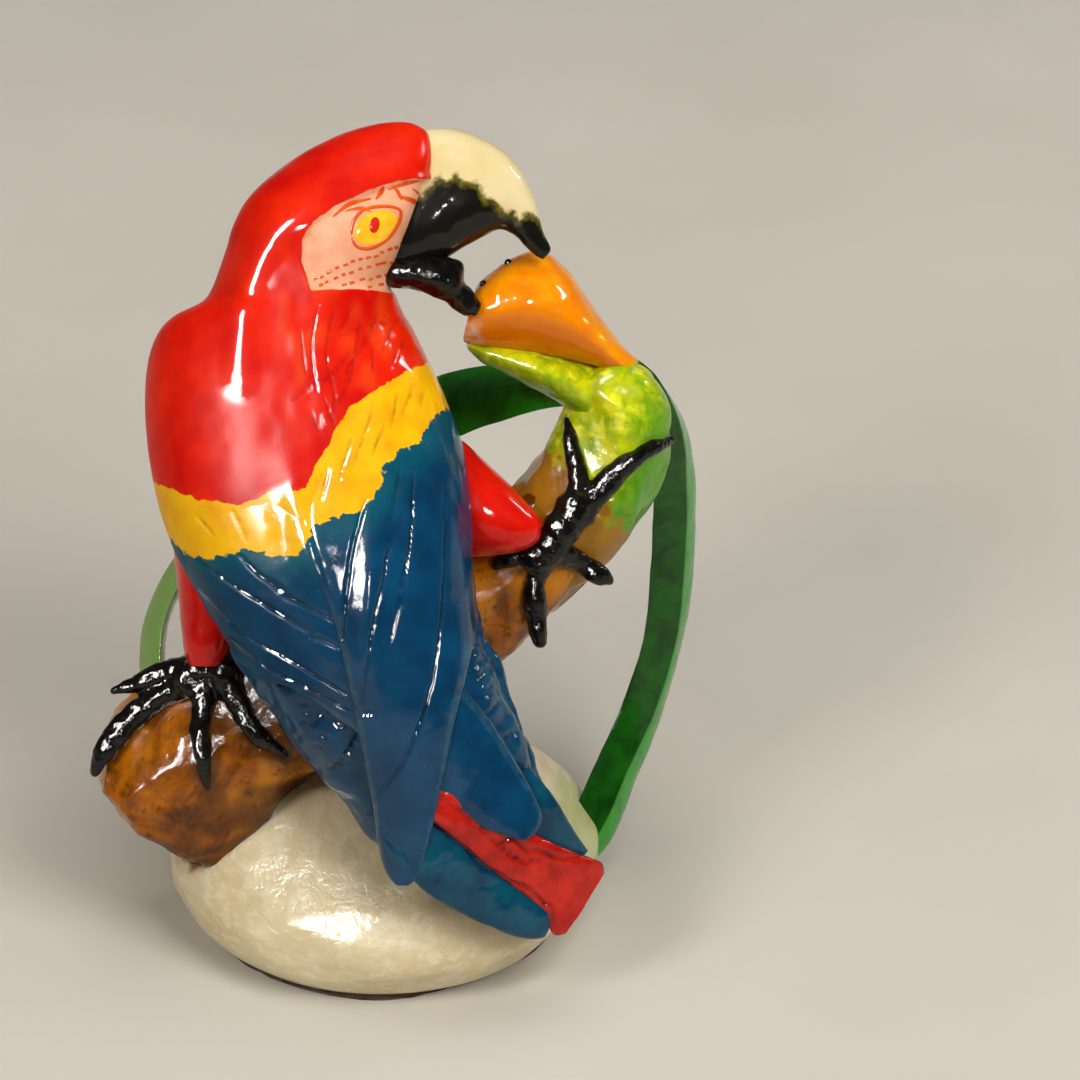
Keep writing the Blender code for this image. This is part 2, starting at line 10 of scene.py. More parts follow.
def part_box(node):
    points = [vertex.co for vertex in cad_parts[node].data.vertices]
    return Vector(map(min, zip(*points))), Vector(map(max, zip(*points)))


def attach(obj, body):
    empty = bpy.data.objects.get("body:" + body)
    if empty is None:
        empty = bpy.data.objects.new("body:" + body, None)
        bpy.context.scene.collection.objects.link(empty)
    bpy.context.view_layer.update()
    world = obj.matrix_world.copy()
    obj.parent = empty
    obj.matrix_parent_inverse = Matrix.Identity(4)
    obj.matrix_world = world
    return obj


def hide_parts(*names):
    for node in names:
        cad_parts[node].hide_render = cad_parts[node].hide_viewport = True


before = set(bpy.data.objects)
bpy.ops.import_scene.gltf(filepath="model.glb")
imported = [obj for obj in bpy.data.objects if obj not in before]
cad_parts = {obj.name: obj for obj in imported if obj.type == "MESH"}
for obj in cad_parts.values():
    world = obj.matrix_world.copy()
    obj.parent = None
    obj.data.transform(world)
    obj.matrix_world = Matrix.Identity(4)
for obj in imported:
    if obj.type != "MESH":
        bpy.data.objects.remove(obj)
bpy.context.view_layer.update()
print("frame loaded, nodes:", len(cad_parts))

# The bird, branch and bud share a plane that leans back. Shapes are set out on it in millimetres:
# across, depth behind the plane of the eye, height up the plane.
lean = math.radians(33.0)
footLow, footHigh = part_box("nut_skin")
standAt = np.array([(footLow[0] + footHigh[0]) / 2, (footLow[1] + footHigh[1]) / 2, footLow[2]])


def toFrame(points):
    x, d, v = np.asarray(points, float).T
    y = d * math.cos(lean) + v * math.sin(lean)
    z = -d * math.sin(lean) + v * math.cos(lean)
    return np.stack([x, y, z], 1) * 0.001 + standAt


# smooth values between rows of keys
def through(keys, at):
    keys = np.asarray(keys, float)
    last = len(keys) - 1
    at = np.clip(np.asarray(at, float), 0, last)
    i = np.minimum(at.astype(int), last - 1)
    f = (at - i)[:, None]
    a = keys[np.maximum(i - 1, 0)]
    b = keys[i]
    c = keys[i + 1]
    d = keys[np.minimum(i + 2, last)]
    bend = 2 * a - 5 * b + 4 * c - d
    return 0.5 * (2 * b + (c - a) * f + bend * f * f + (3 * b - a - 3 * c + d) * f ** 3)


def step(low, high, x):
    t = np.clip((x - low) / (high - low), 0, 1)
    return t * t * (3 - 2 * t)


# soft random field from -1 to 1, lumps about size across
def lumps(points, size, seed=0):
    p = np.asarray(points, float) / size + seed * 17.31
    cell = np.floor(p).astype(np.int64)
    f = p - cell
    f = f * f * (3 - 2 * f)
    total = np.zeros(len(p))
    for dx in (0, 1):
        for dy in (0, 1):
            for dz in (0, 1):
                c = cell + (dx, dy, dz)
                h = (c[:, 0] * 73856093) ^ (c[:, 1] * 19349663) ^ (c[:, 2] * 83492791) ^ (seed * 2654435)
                h = (h ^ (h >> 13)) * 1274126177
                value = ((h ^ (h >> 16)) & 0xFFFF) / 32767.5 - 1
                w = (f[:, 0] if dx else 1 - f[:, 0]) * (f[:, 1] if dy else 1 - f[:, 1])
                total += value * w * (f[:, 2] if dz else 1 - f[:, 2])
    return total


# distance to a drawn line, and how far along it from 0 to 1
def lineDistance(x, v, line):
    line = np.asarray(line, float)[:, :2]
    best = np.full(len(x), 1e9)
    along = np.zeros(len(x))
    lengths = np.hypot(*np.diff(line, axis=0).T)
    total = lengths.sum()
    run = 0.0
    for (ax, av), (bx, bv), size in zip(line[:-1], line[1:], lengths):
        t = ((x - ax) * (bx - ax) + (v - av) * (bv - av)) / max(size * size, 1e-9)
        t = np.clip(t, 0, 1)
        gap = np.hypot(x - ax - (bx - ax) * t, v - av - (bv - av) * t)
        closer = gap < best
        best = np.where(closer, gap, best)
        along = np.where(closer, (run + t * size) / total, along)
        run += size
    return best, along


# distance to an outline, positive inside it
def areaDistance(x, v, outline):
    outline = list(outline)
    gap, _ = lineDistance(x, v, outline + outline[:1])
    inside = np.zeros(len(x), bool)
    for (ax, av), (bx, bv) in zip(outline, outline[1:] + outline[:1]):
        crosses = ((av > v) != (bv > v)) & (x < (bx - ax) * (v - av) / ((bv - av) or 1e-9) + ax)
        inside ^= crosses
    return np.where(inside, gap, -gap)


# a smooth line through a few points
def drawnOut(line, steps=6):
    keys = np.asarray(line, float)
    return through(keys, np.linspace(0, len(keys) - 1, (len(keys) - 1) * steps + 1))


# a ball of clay to be drawn out: its bmesh, and each point's place from pole to pole and round
def ballOf(around, rows):
    clay = bmesh.new()
    bmesh.ops.create_grid(clay, x_segments=rows, y_segments=around, size=1.0)
    co = np.array([v.co for v in clay.verts])
    t = (co[:, 0] + 1) / 2 * math.pi
    angle = co[:, 1] * math.pi
    setPoints(clay, np.stack([np.sin(t) * np.cos(angle), np.sin(t) * np.sin(angle), np.cos(t)], 1))
    bmesh.ops.remove_doubles(clay, verts=clay.verts, dist=1e-5)
    co = np.array([v.co for v in clay.verts])
    t = np.arccos(np.clip(co[:, 2], -1, 1)) / math.pi
    angle = np.arctan2(co[:, 1], co[:, 0])
    return clay, t, angle


def setPoints(clay, points):
    for vert, point in zip(clay.verts, points):
        vert.co = point


def normalsOf(clay):
    bmesh.ops.recalc_face_normals(clay, faces=clay.faces)
    if clay.calc_volume(signed=True) < 0:
        bmesh.ops.reverse_faces(clay, faces=clay.faces)
    clay.normal_update()
    return np.array([v.normal for v in clay.verts])


# gives the clay its points, pushed in and out by soft lumps: how much, lump size, seed
def hewn(clay, points, *roughness):
    setPoints(clay, points)
    push = sum(deep * lumps(points, size, seed) for deep, size, seed in roughness)
    points = points + normalsOf(clay) * push[:, None]
    setPoints(clay, points)
    return points


# -1 to 1 as a superellipse: higher power, squarer section
def squared(wave, power):
    return np.sign(wave) * np.abs(wave) ** (2 / power)


# closes the ends of a piece in a round cap, over a share of its length
def capped(t, ends):
    close = np.minimum(np.sin(np.clip(t, 0, 1) * math.pi) / ends, 1.0)
    return np.sqrt(np.clip(1 - (1 - close) ** 2, 0, 1))


def inScene(name, data):
    thing = bpy.data.objects.new(name, data)
    bpy.context.scene.collection.objects.link(thing)
    return thing


pieces = {}


# turns the clay into a finished piece of the object
def keep(name, clay, material, slotName, *nodes, marks=None, local=True):
    points = np.array([v.co for v in clay.verts])
    setPoints(clay, toFrame(points) if local else points * 0.001 + standAt)
    normalsOf(clay)
    for face in clay.faces:
        face.smooth = True
    mesh = bpy.data.meshes.new(name)
    clay.to_mesh(mesh)
    clay.free()
    for mark, values in (marks or {}).items():
        layer = mesh.attributes.new(mark, "FLOAT", "POINT")
        layer.data.foreach_set("value", np.asarray(values, np.float32))
    piece = inScene(name, mesh)
    mesh.materials.append(material)
    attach(piece, "root")
    if nodes:
        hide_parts(*nodes)
    pieces[name] = piece
    print("made", name, len(mesh.polygons))
    return piece


# a finish in the making: short names for the shader nodes that the paints use
class Finish:
    def __init__(self, name):
        self.material = bpy.data.materials.new(name)
        self.material.use_nodes = True
        self.tree = self.material.node_tree
        self.shader = self.tree.nodes["Principled BSDF"]
        self.coords = self.tree.nodes.new("ShaderNodeTexCoord").outputs["Object"]

    def put(self, socket, value):
        if isinstance(value, bpy.types.NodeSocket):
            self.tree.links.new(value, socket)
        elif isinstance(value, tuple) and len(value) == 3 and len(socket.default_value) == 4:
            socket.default_value = (*value, 1.0)
        else:
            socket.default_value = value

    # a node with its sockets set or joined, and one of its outputs
    def add(self, kind, out, sockets, **settings):
        made = self.tree.nodes.new("ShaderNode" + kind)
        for name, value in settings.items():
            setattr(made, name, value)
        for name, value in sockets.items():
            self.put(made.inputs[name], value)
        return made.outputs[out]

    def noise(self, size, detail=3.0, rough=0.5, warp=0.0, stretch=None):
        source = self.coords
        if stretch:
            spread = {"Vector": source, "Rotation": stretch[0], "Scale": stretch[1]}
            source = self.add("Mapping", "Vector", spread)
        grain = {"Vector": source, "Scale": 1000.0 / size, "Detail": detail,
                 "Roughness": rough, "Distortion": warp}
        return self.add("TexNoise", "Fac", grain)

    def specks(self, size, reach):
        gap = self.add("TexVoronoi", "Distance", {"Vector": self.coords, "Scale": 1000.0 / size})
        return self.ramp(gap, reach, reach * 0.6)

    def mark(self, name):
        return self.add("Attribute", "Fac", {}, attribute_name=name)

    def times(self, a, b):
        return self.add("Math", 0, {0: a, 1: b}, operation="MULTIPLY")

    def plus(self, a, b):
        return self.add("Math", 0, {0: a, 1: b}, operation="ADD")

    def minus(self, a, b):
        return self.add("Math", 0, {0: a, 1: b}, operation="SUBTRACT")

    # 0 below low, 1 above high
    def ramp(self, value, low, high):
        return self.add("MapRange", "Result", {"Value": value, "From Min": low, "From Max": high})

    def mix(self, amount, a, b):
        return self.add("Mix", 2, {"Factor": amount, 6: a, 7: b}, data_type="RGBA")

    # two colours in soft patches
    def patches(self, grain, low, high, first, second):
        return self.mix(self.ramp(self.noise(*grain), low, high), first, second)

    # noise to either side of nothing
    def wander(self, grain, reach):
        return self.times(self.minus(self.noise(*grain), 0.5), reach)

    # a painted mark whose border frays
    def frayed(self, name, grain, reach):
        return self.plus(self.mark(name), self.wander(grain, reach))

    # something that shows only in patches
    def broken(self, value, grain, low, high):
        return self.times(value, self.ramp(self.noise(*grain), low, high))

    def relief(self, height, strength, distance, below=None):
        sockets = {"Strength": strength, "Distance": distance * 0.001, "Height": height}
        if below:
            sockets["Normal"] = below
        return self.add("Bump", "Normal", sockets)

    # the coat is the varnish; soak lets light into the nut under thin paint
    def finish(self, colour, roughness, normal=None, coat=0.75, coatRough=0.05, soak=0.0, soakColour=None):
        sockets = {"Base Color": colour, "Roughness": roughness, "Specular IOR Level": 0.03,
                   "Coat Weight": coat, "Coat Roughness": coatRough, "Coat IOR": 1.42}
        if soak:
            sockets.update({"Subsurface Weight": soak, "Subsurface Radius": soakColour,
                            "Subsurface Scale": 0.0015})
        if normal:
            sockets.update({"Normal": normal, "Coat Normal": normal})
        for name, value in sockets.items():
            self.put(self.shader.inputs[name], value)
        return self.material


# slight orange peel and a few dust specks caught in the varnish
def varnish(f, orangePeel=0.05, dust=0.35, size=1.2):
    peel = f.relief(f.noise(size, 2.0), orangePeel, 0.25)
    grit = f.broken(f.specks(0.55, 0.09), (1.3, 2.0), 0.52, 0.6)
    return f.relief(grit, dust, 0.03, peel)


# red over yellow over blue, with ragged brushed borders
def paintedBird():
    f = Finish("birdPaint")
    ragged = f.minus(f.noise(0.9, 5.0, 0.62), 0.5)
    wander = f.times(ragged, 0.75)
    high = f.plus(f.mark("bandHigh"), wander)
    low = f.plus(f.mark("bandLow"), f.times(ragged, 1.5))
    red = f.patches((3.2, 3.0), 0.35, 0.75, (0.62, 0.003, 0.0005), (0.86, 0.022, 0.001))
    red = f.mix(f.mark("bare"), red, (0.88, 0.10, 0.010))
    yellow = f.patches((1.6, 4.0), 0.4, 0.8, (0.93, 0.50, 0.003), (0.82, 0.34, 0.002))
    blue = f.patches((2.4, 4.0), 0.35, 0.8, (0.0008, 0.032, 0.085), (0.0015, 0.062, 0.150))
    teal = f.patches((1.1, 3.0), 0.3, 0.8, (0.001, 0.080, 0.130), (0.006, 0.13, 0.15))
    blue = f.mix(f.times(f.ramp(f.mark("bandLow"), -2.4, 0.1), 0.75), blue, teal)
    colour = f.mix(f.ramp(low, -0.02, 0.05), blue, yellow)
    colour = f.mix(f.ramp(high, -0.02, 0.05), colour, red)
    face = f.plus(f.mark("face"), f.times(ragged, 0.35))
    skin = f.patches((1.5, 2.0), 0.3, 0.7, (0.88, 0.46, 0.29), (0.82, 0.35, 0.18))
    colour = f.mix(f.ramp(face, -0.02, 0.05), colour, skin)
    blush = f.broken(f.mark("blush"), (0.5, 3.0), 0.35, 0.6)
    colour = f.mix(blush, colour, (0.85, 0.20, 0.02))
    # the knife cuts are painted near black: painted shade in the grooves
    cut = f.broken(f.mark("cut"), (0.45, 3.0), 0.25, 0.6)
    colour = f.mix(cut, colour, f.mix(0.85, colour, (0.002, 0.003, 0.006)))
    blueArea = f.ramp(low, 0.05, -0.1)
    dots = f.broken(f.specks(0.42, 0.085), (2.2, 3.0), 0.45, 0.62)
    colour = f.mix(f.times(f.times(dots, blueArea), 0.55), colour, (0.20, 0.42, 0.50))
    # pale teal along the plate rims is partly wear and partly painted highlight
    wearAndHighlight = f.broken(f.mark("edge"), (0.7, 4.0), 0.3, 0.7)
    colour = f.mix(wearAndHighlight, colour, f.mix(0.35, colour, (0.10, 0.28, 0.30)))
    fine = f.relief(f.noise(0.16, 4.0, 0.65), 0.10, 0.06, varnish(f))
    dull = f.plus(0.04, f.times(f.mark("dull"), 0.26))
    gloss = f.minus(0.85, f.times(f.mark("dull"), 0.72))
    return f.finish(colour, 0.4, fine, gloss, dull)


def plainPaint(name, dark, light, patch=2.5, roughness=0.3, peel=0.05, coatRough=0.05, edge=None):
    f = Finish(name)
    colour = f.patches((patch, 4.0), 0.35, 0.7, dark, light)
    if edge:
        colour = f.mix(f.broken(f.mark("edge"), (0.8, 4.0), 0.3, 0.6), colour, edge)
    fine = f.relief(f.noise(0.2, 4.0, 0.6), 0.10, 0.06, varnish(f, peel))
    return f.finish(colour, roughness, fine, 0.75, coatRough)


def ivoryNut():
    f = Finish("ivoryNut")
    base = f.patches((7.0, 3.0, 0.5, 0.6), 0.35, 0.7, (0.74, 0.63, 0.40), (0.64, 0.52, 0.30))
    streak = f.noise(1.1, 5.0, 0.6, 0.4, ((0.3, 0.2, 0.5), (1.0, 0.35, 1.6)))
    base = f.mix(f.ramp(streak, 0.45, 0.75), base, (0.82, 0.74, 0.54))
    pits = f.broken(f.specks(0.9, 0.075), (2.0, 2.0), 0.42, 0.55)
    base = f.mix(f.times(pits, 0.65), base, (0.10, 0.06, 0.03))
    brown = f.frayed("stainBrown", (1.2, 4.0), 1.6)
    base = f.mix(f.ramp(brown, -0.15, 0.35), base, (0.26, 0.10, 0.015))
    green = f.frayed("stainGreen", (1.5, 4.0), 1.8)
    base = f.mix(f.times(f.ramp(green, -0.4, 0.9), 0.55), base, (0.24, 0.36, 0.05))
    worked = f.relief(streak, 0.42, 0.25, varnish(f, 0.16, 0.2, 2.2))
    fine = f.relief(f.noise(0.5, 5.0, 0.65), 0.16, 0.12, worked)
    return f.finish(base, 0.4, fine, 0.75, 0.19, 0.3, (1.0, 0.62, 0.3))


def stainedBark():
    f = Finish("stainedBark")
    patch = f.noise(2.6, 5.0, 0.6, 0.8)
    amber = f.mix(f.ramp(patch, 0.38, 0.62), (0.14, 0.032, 0.0006), (0.42, 0.120, 0.002))
    # lighter amber patches here and there are painted highlights
    amber = f.mix(f.times(f.ramp(f.noise(5.0, 2.0), 0.45, 0.62), 0.8), amber, (0.60, 0.21, 0.005))
    blots = f.ramp(f.noise(1.0, 5.0, 0.7, 0.5), 0.56, 0.70)
    amber = f.mix(f.times(blots, 0.85), amber, (0.026, 0.007, 0.0006))
    limeward = f.frayed("lime", (1.0, 5.0), 1.3)
    lime = f.mix(patch, (0.26, 0.30, 0.003), (0.09, 0.18, 0.003))
    colour = f.mix(f.ramp(limeward, 0.35, 0.65), amber, lime)
    dark = f.mix(f.ramp(patch, 0.35, 0.65), (0.018, 0.006, 0.001), (0.12, 0.035, 0.001))
    # the shade mark paints the underside of the lower end dark brown: painted shade
    colour = f.mix(f.mark("shade"), colour, dark)
    fine = f.relief(f.noise(0.7, 5.0, 0.6), 0.35, 0.20, varnish(f, 0.15, 0.3, 1.5))
    return f.finish(colour, 0.33, fine, 0.75, 0.07)


def limeStem():
    f = Finish("limeStem")
    patch = f.noise(1.7, 5.0, 0.6, 0.6)
    colour = f.mix(f.ramp(patch, 0.35, 0.65), (0.20, 0.36, 0.002), (0.62, 0.64, 0.004))
    colour = f.patches((0.9, 4.0), 0.52, 0.68, colour, (0.78, 0.78, 0.02))
    # the deep mark paints the lower side darker green: painted shade
    colour = f.mix(f.mark("deep"), colour, f.mix(patch, (0.018, 0.20, 0.002), (0.09, 0.38, 0.01)))
    # brown where the stem meets the branch, and painted shade on the sepal's underside
    frayedEarthAndShade = f.frayed("earthAndShade", (0.9, 5.0), 1.2)
    colour = f.mix(f.ramp(frayedEarthAndShade, 0.35, 0.65), colour, (0.34, 0.15, 0.008))
    fine = f.relief(f.noise(0.6, 5.0, 0.6), 0.35, 0.20, varnish(f, 0.15, 0.3, 1.5))
    return f.finish(colour, 0.30, fine, 0.75, 0.05)


def leafPaint():
    f = Finish("leafPaint")
    patch = f.noise(2.0, 5.0, 0.6, 0.5)
    colour = f.mix(f.ramp(patch, 0.35, 0.68), (0.003, 0.040, 0.002), (0.008, 0.100, 0.004))
    colour = f.mix(f.times(f.mark("edge"), f.ramp(patch, 0.15, 0.5)), colour, (0.016, 0.30, 0.008))
    # pale green over the lower end of the left leaf is a painted reflection
    colour = f.mix(f.mark("pale"), colour, (0.30, 0.46, 0.14))
    fine = f.relief(f.noise(0.6, 5.0, 0.6), 0.3, 0.16, varnish(f, 0.12, 0.3, 1.5))
    return f.finish(colour, 0.25, fine, 0.75, 0.045)


def budPaint():
    f = Finish("budPaint")
    patch = f.noise(2.4, 4.0, 0.55, 0.4)
    colour = f.mix(f.ramp(patch, 0.35, 0.7), (0.90, 0.22, 0.0005), (0.97, 0.37, 0.001))
    # the lower half of the bud is painted darker orange: painted shade
    colour = f.mix(f.times(f.mark("deep"), 0.8), colour, (0.58, 0.12, 0.002))
    limey = f.frayed("lime", (0.8, 4.0), 1.2)
    colour = f.mix(f.ramp(limey, 0.0, 0.2), colour, (0.45, 0.45, 0.01))
    pale = f.broken(f.mark("pale"), (0.6, 3.0), 0.3, 0.6)
    colour = f.mix(pale, colour, (0.72, 0.62, 0.50))
    fine = f.relief(f.noise(0.5, 4.0), 0.12, 0.10, varnish(f, 0.12, 0.3, 1.5))
    return f.finish(colour, 0.25, fine, 0.75, 0.045, 0.15, (1.0, 0.4, 0.1))


def beakPaint():
    f = Finish("beakPaint")
    cream = f.patches((3.0, 3.0), 0.35, 0.7, (0.78, 0.66, 0.37), (0.70, 0.56, 0.26))
    rag = f.wander((0.55, 4.0, 0.6), 0.9)
    dark = f.plus(f.mark("dark"), rag)
    olive = f.patches((0.6, 3.0), 0.35, 0.65, (0.16, 0.13, 0.012), (0.05, 0.045, 0.008))
    colour = f.mix(f.ramp(dark, -0.25, 0.05), cream, olive)
    colour = f.mix(f.ramp(dark, 0.12, 0.42), colour, (0.006, 0.006, 0.004))
    fine = f.relief(f.noise(0.5, 4.0), 0.14, 0.10, varnish(f, 0.08, 0.3, 1.4))
    return f.finish(colour, 0.30, fine, 0.75, 0.06, 0.10, (1.0, 0.7, 0.4))


def blackPaint():
    f = Finish("blackPaint")
    colour = f.patches((0.8, 4.0), 0.4, 0.75, (0.0025, 0.0025, 0.0025), (0.012, 0.010, 0.006))
    rough = f.relief(f.noise(0.5, 4.0, 0.6), 0.30, 0.18, varnish(f, 0.2, 0.3, 1.0))
    return f.finish(colour, 0.28, rough, 0.75, 0.05)


def nutSkin():
    f = Finish("nutSkin")
    colour = f.patches((1.2, 5.0), 0.35, 0.7, (0.030, 0.014, 0.007), (0.11, 0.055, 0.025))
    rough = f.relief(f.noise(0.6, 6.0, 0.7), 0.7, 0.3)
    return f.finish(colour, 0.6, rough, 0.35, 0.25)


finishes = {
    "bird": paintedBird(),
    "ivory": ivoryNut(),
    "skin": nutSkin(),
    "bark": stainedBark(),
    "lime": limeStem(),
    "leaf": leafPaint(),
    "bud": budPaint(),
    "beak": beakPaint(),
    "black": blackPaint(),
    "red": plainPaint("thighRed", (0.56, 0.003, 0.001), (0.74, 0.010, 0.001)),
    "tailRed": plainPaint("tailRed", (0.34, 0.006, 0.003), (0.60, 0.020, 0.008),
                          1.6, 0.35, edge=(0.020, 0.004, 0.008)),
    "tailBlue": plainPaint("tailBlue", (0.001, 0.036, 0.080), (0.003, 0.075, 0.125),
                           2.0, 0.3, edge=(0.001, 0.010, 0.018)),
    "eyeYellow": plainPaint("eyeYellow", (0.90, 0.45, 0.01), (0.95, 0.60, 0.03), 0.8),
    "eyeLine": plainPaint("eyeLine", (0.72, 0.06, 0.004), (0.82, 0.13, 0.01), 0.7),
    "pupil": plainPaint("pupilRed", (0.62, 0.012, 0.004), (0.72, 0.03, 0.006), 0.5),
}
print("finishes ready:", len(finishes))

# nut base and its skin
nut = {"half": (15.3, 14.5), "rise": 7.0, "middle": 4.0, "bottom": 0.65, "facets": 90, "soft": 260,
       "seed": 5}


def nutBase():
    clay = ballOf(240, 150)[0]
    u = np.array([v.co for v in clay.verts])
    pick = np.random.default_rng(nut["seed"])
    soft = np.full(len(u), math.exp(-nut["soft"]))
    for _ in range(nut["facets"]):
        a = pick.uniform(-math.pi, math.pi)
        z = pick.uniform(-0.35, 0.95)
        n = np.array([math.sqrt(1 - z * z) * math.cos(a), math.sqrt(1 - z * z) * math.sin(a), z])
        h = pick.uniform(0.974, 0.992)
        toward = u @ n
        cut = np.where(toward > 0.5, h / np.maximum(toward, 0.5), 2.0)
        soft += np.exp(-nut["soft"] * cut)
    r = -np.log(soft) / nut["soft"]
    r = r * (1 + 0.004 * lumps(u, 0.35, 3))
    p = u * r[:, None] * (nut["half"][0], nut["half"][1], nut["rise"])
    p[:, 2] += nut["middle"]
    # the nut swells up to the foot of the branch
    swell = np.exp(-(((p[:, 0] + 8.0) / 4.2) ** 2 + ((p[:, 1] + 3.0) / 4.2) ** 2)) * (p[:, 2] > 5)
    p[:, 2] += 1.9 * swell
    low = p[:, 2] < nut["bottom"]
    p[low, 2] = nut["bottom"]
    setPoints(clay, p)
    # paint that ran down from the branch and the leaf
    brown = 3.1 - np.linalg.norm((p - (-12.6, -4.0, 9.0)) * (1.0, 0.9, 0.9), axis=1)
    green = 4.2 - np.linalg.norm((p - (15.0, 1.5, 5.0)) * (0.9, 0.8, 1.0), axis=1)
    keep("nut_base_polished", clay, finishes["ivory"], "ivory", "nut_base",
         marks={"stainBrown": brown, "stainGreen": green}, local=False)


def nutSkinRing():
    clay, _, angle = ballOf(160, 40)
    u = np.array([v.co for v in clay.verts])
    flat = np.hypot(u[:, 0], u[:, 1])
    rim = step(0.0, 0.8, flat)
    wave = 0.02 * np.sin(3 * angle + 1.0) + 0.012 * np.sin(7 * angle)
    scale = (0.845 + wave) * np.minimum(flat * 1.25, 1.0) ** 0.6
    x = nut["half"][0] * scale * np.cos(angle)
    y = nut["half"][1] * scale * np.sin(angle)
    top = (0.95 + 0.25 * np.sin(2 * angle + 0.6) * rim) * step(0.0, 0.12, u[:, 2])
    z = np.where(u[:, 2] > 0, np.maximum(top, 0.3), 0.0)
    p = np.stack([x, y, z], 1)
    rough = 0.10 * lumps(p, 0.9, 8) * (flat > 0.7)
    p[:, 0] += rough * np.cos(angle)
    p[:, 1] += rough * np.sin(angle)
    setPoints(clay, p)
    keep("nut_skin_rim", clay, finishes["skin"], "skin", "nut_skin", local=False)


nutBase()
nutSkinRing()

# branch and stem
branch = {
    "stations": [
        (-19.7, 8.4, -17.7, 5.5, -9.2, 2.6),
        (-20.1, 9.5, -15.1, 3.7, -9.1, 4.3),
        (-19.8, 12.1, -11.9, 2.4, -8.8, 5.4),
        (-16.2, 15.4, -7.1, 6.0, -8.5, 5.8),
        (-10.5, 19.6, -3.9, 9.3, -8.7, 5.2),
        (-2.9, 22.1, 1.3, 12.8, -9.0, 4.8),
        (4.1, 25.9, 6.9, 15.7, -9.6, 4.7),
        (9.1, 29.0, 12.3, 20.3, -10.0, 4.4),
        (11.3, 30.6, 16.6, 24.6, -10.6, 3.9),
    ],
    "sides": 6,
    "soft": 95,
}


# radius of a knife-cut section: flats that wander along the wood
def whittled(angle, s, sides, seed, soft, depth=0.03):
    total = np.zeros(len(angle))
    for k in range(sides):
        drift = 0.35 * np.sin(s * (1.3 + 0.2 * k) + seed + k * 1.7)
        a = 2 * math.pi * k / sides + drift + seed
        h = 0.95 + depth * np.sin(s * (1.3 + 0.2 * k) + k * 2.3 + seed)
        toward = np.cos(angle - a)
        cut = np.where(toward > 0.4, h / np.maximum(toward, 0.4), 2.4)
        total += np.exp(-soft * cut)
    total += np.exp(-soft * 1.02)
    return -np.log(total) / soft


# ring points between the two edge lines of each station
def spanned(stations, t, angle, power, widen=1.0, ends=0.0):
    n = len(stations) - 1
    rows = through(stations, t * n)
    c = squared(np.cos(angle), power)
    s = squared(np.sin(angle), power)
    close = capped(t, ends) * widen
    middle = (rows[:, 0:2] + rows[:, 2:4]) / 2
    half = (rows[:, 2:4] - rows[:, 0:2]) / 2
    flat = middle + half * (c * close)[:, None]
    return np.stack([flat[:, 0], rows[:, 4] - rows[:, 5] * s * close, flat[:, 1]], 1)


def makeBranch():
    clay, t, angle = ballOf(150, 240)
    flats = whittled(angle, t * 11.2, branch["sides"], 1.0, branch["soft"])
    p = spanned(branch["stations"], t, angle, 2.0, flats, 0.10)
    # broad knife cuts, most of them across the lower end
    for at, normal in branchCuts:
        n = np.array(normal) / np.linalg.norm(normal)
        over = (p - np.array(at)) @ n
        p -= np.where(over > 0, over * 0.92, 0)[:, None] * n
    p += lumps(p, 1.6, 4)[:, None] * 0.10 * (p - p.mean(0)) / 8
    p = hewn(clay, p, (0.10, 1.3, 7), (0.05, 0.6, 9))
    # the underside of the lower end is painted darker in mottled patches: painted shade
    below = step(-15.5, -12.0, p[:, 0] - 0.5 * (p[:, 2] - 9.0)) * step(0.0, -7.0, p[:, 0])
    shade = 0.8 * below * step(-0.7, 0.0, lumps(p, 1.6, 14))
    keep("branch_wood", clay, finishes["bark"], "bark", "branch",
         marks={"lime": step(0.93, 1.0, t) * 0.6, "shade": shade})


branchCuts = [
    ((-19.4, -10.0, 8.5), (-0.94, -0.20, 0.12)),
    ((-17.0, -12.0, 5.0), (-0.62, -0.45, -0.65)),
    ((-13.0, -13.2, 6.0), (-0.10, -0.92, -0.35)),
    ((-16.5, -12.6, 11.5), (-0.50, -0.85, 0.25)),
    ((-9.5, -13.4, 9.0), (0.25, -0.90, -0.45)),
    ((12.0, -14.2, 25.5), (0.30, -0.93, -0.25)),
]

stem = {
    "stations": [
        (8.3, 28.0, 12.5, 20.7, -10.0, 4.0),
        (10.4, 30.5, 15.9, 23.8, -10.5, 4.4),
        (12.0, 32.8, 18.7, 27.6, -11.0, 4.4),
        (12.9, 34.6, 20.2, 31.7, -12.0, 4.0),
        (13.3, 35.4, 19.9, 34.8, -12.8, 3.6),
        (13.7, 36.5, 18.7, 36.7, -13.4, 2.9),
        (15.1, 37.2, 17.7, 37.5, -13.9, 1.7),
    ],
    "sides": 6,
}
sepal = {
    "stations": [
        (6.0, 39.0, 6.0, 38.4, -14.6, 0.9),
        (7.2, 38.8, 7.3, 37.3, -14.8, 1.8),
        (9.6, 38.6, 9.6, 36.1, -14.8, 2.6),
        (11.6, 38.2, 11.6, 35.1, -14.4, 3.2),
        (13.7, 37.8, 13.6, 33.9, -13.4, 3.1),
        (15.9, 37.4, 15.6, 32.4, -11.8, 3.0),
        (17.6, 36.3, 17.3, 32.1, -11.2, 2.4),
    ],
}


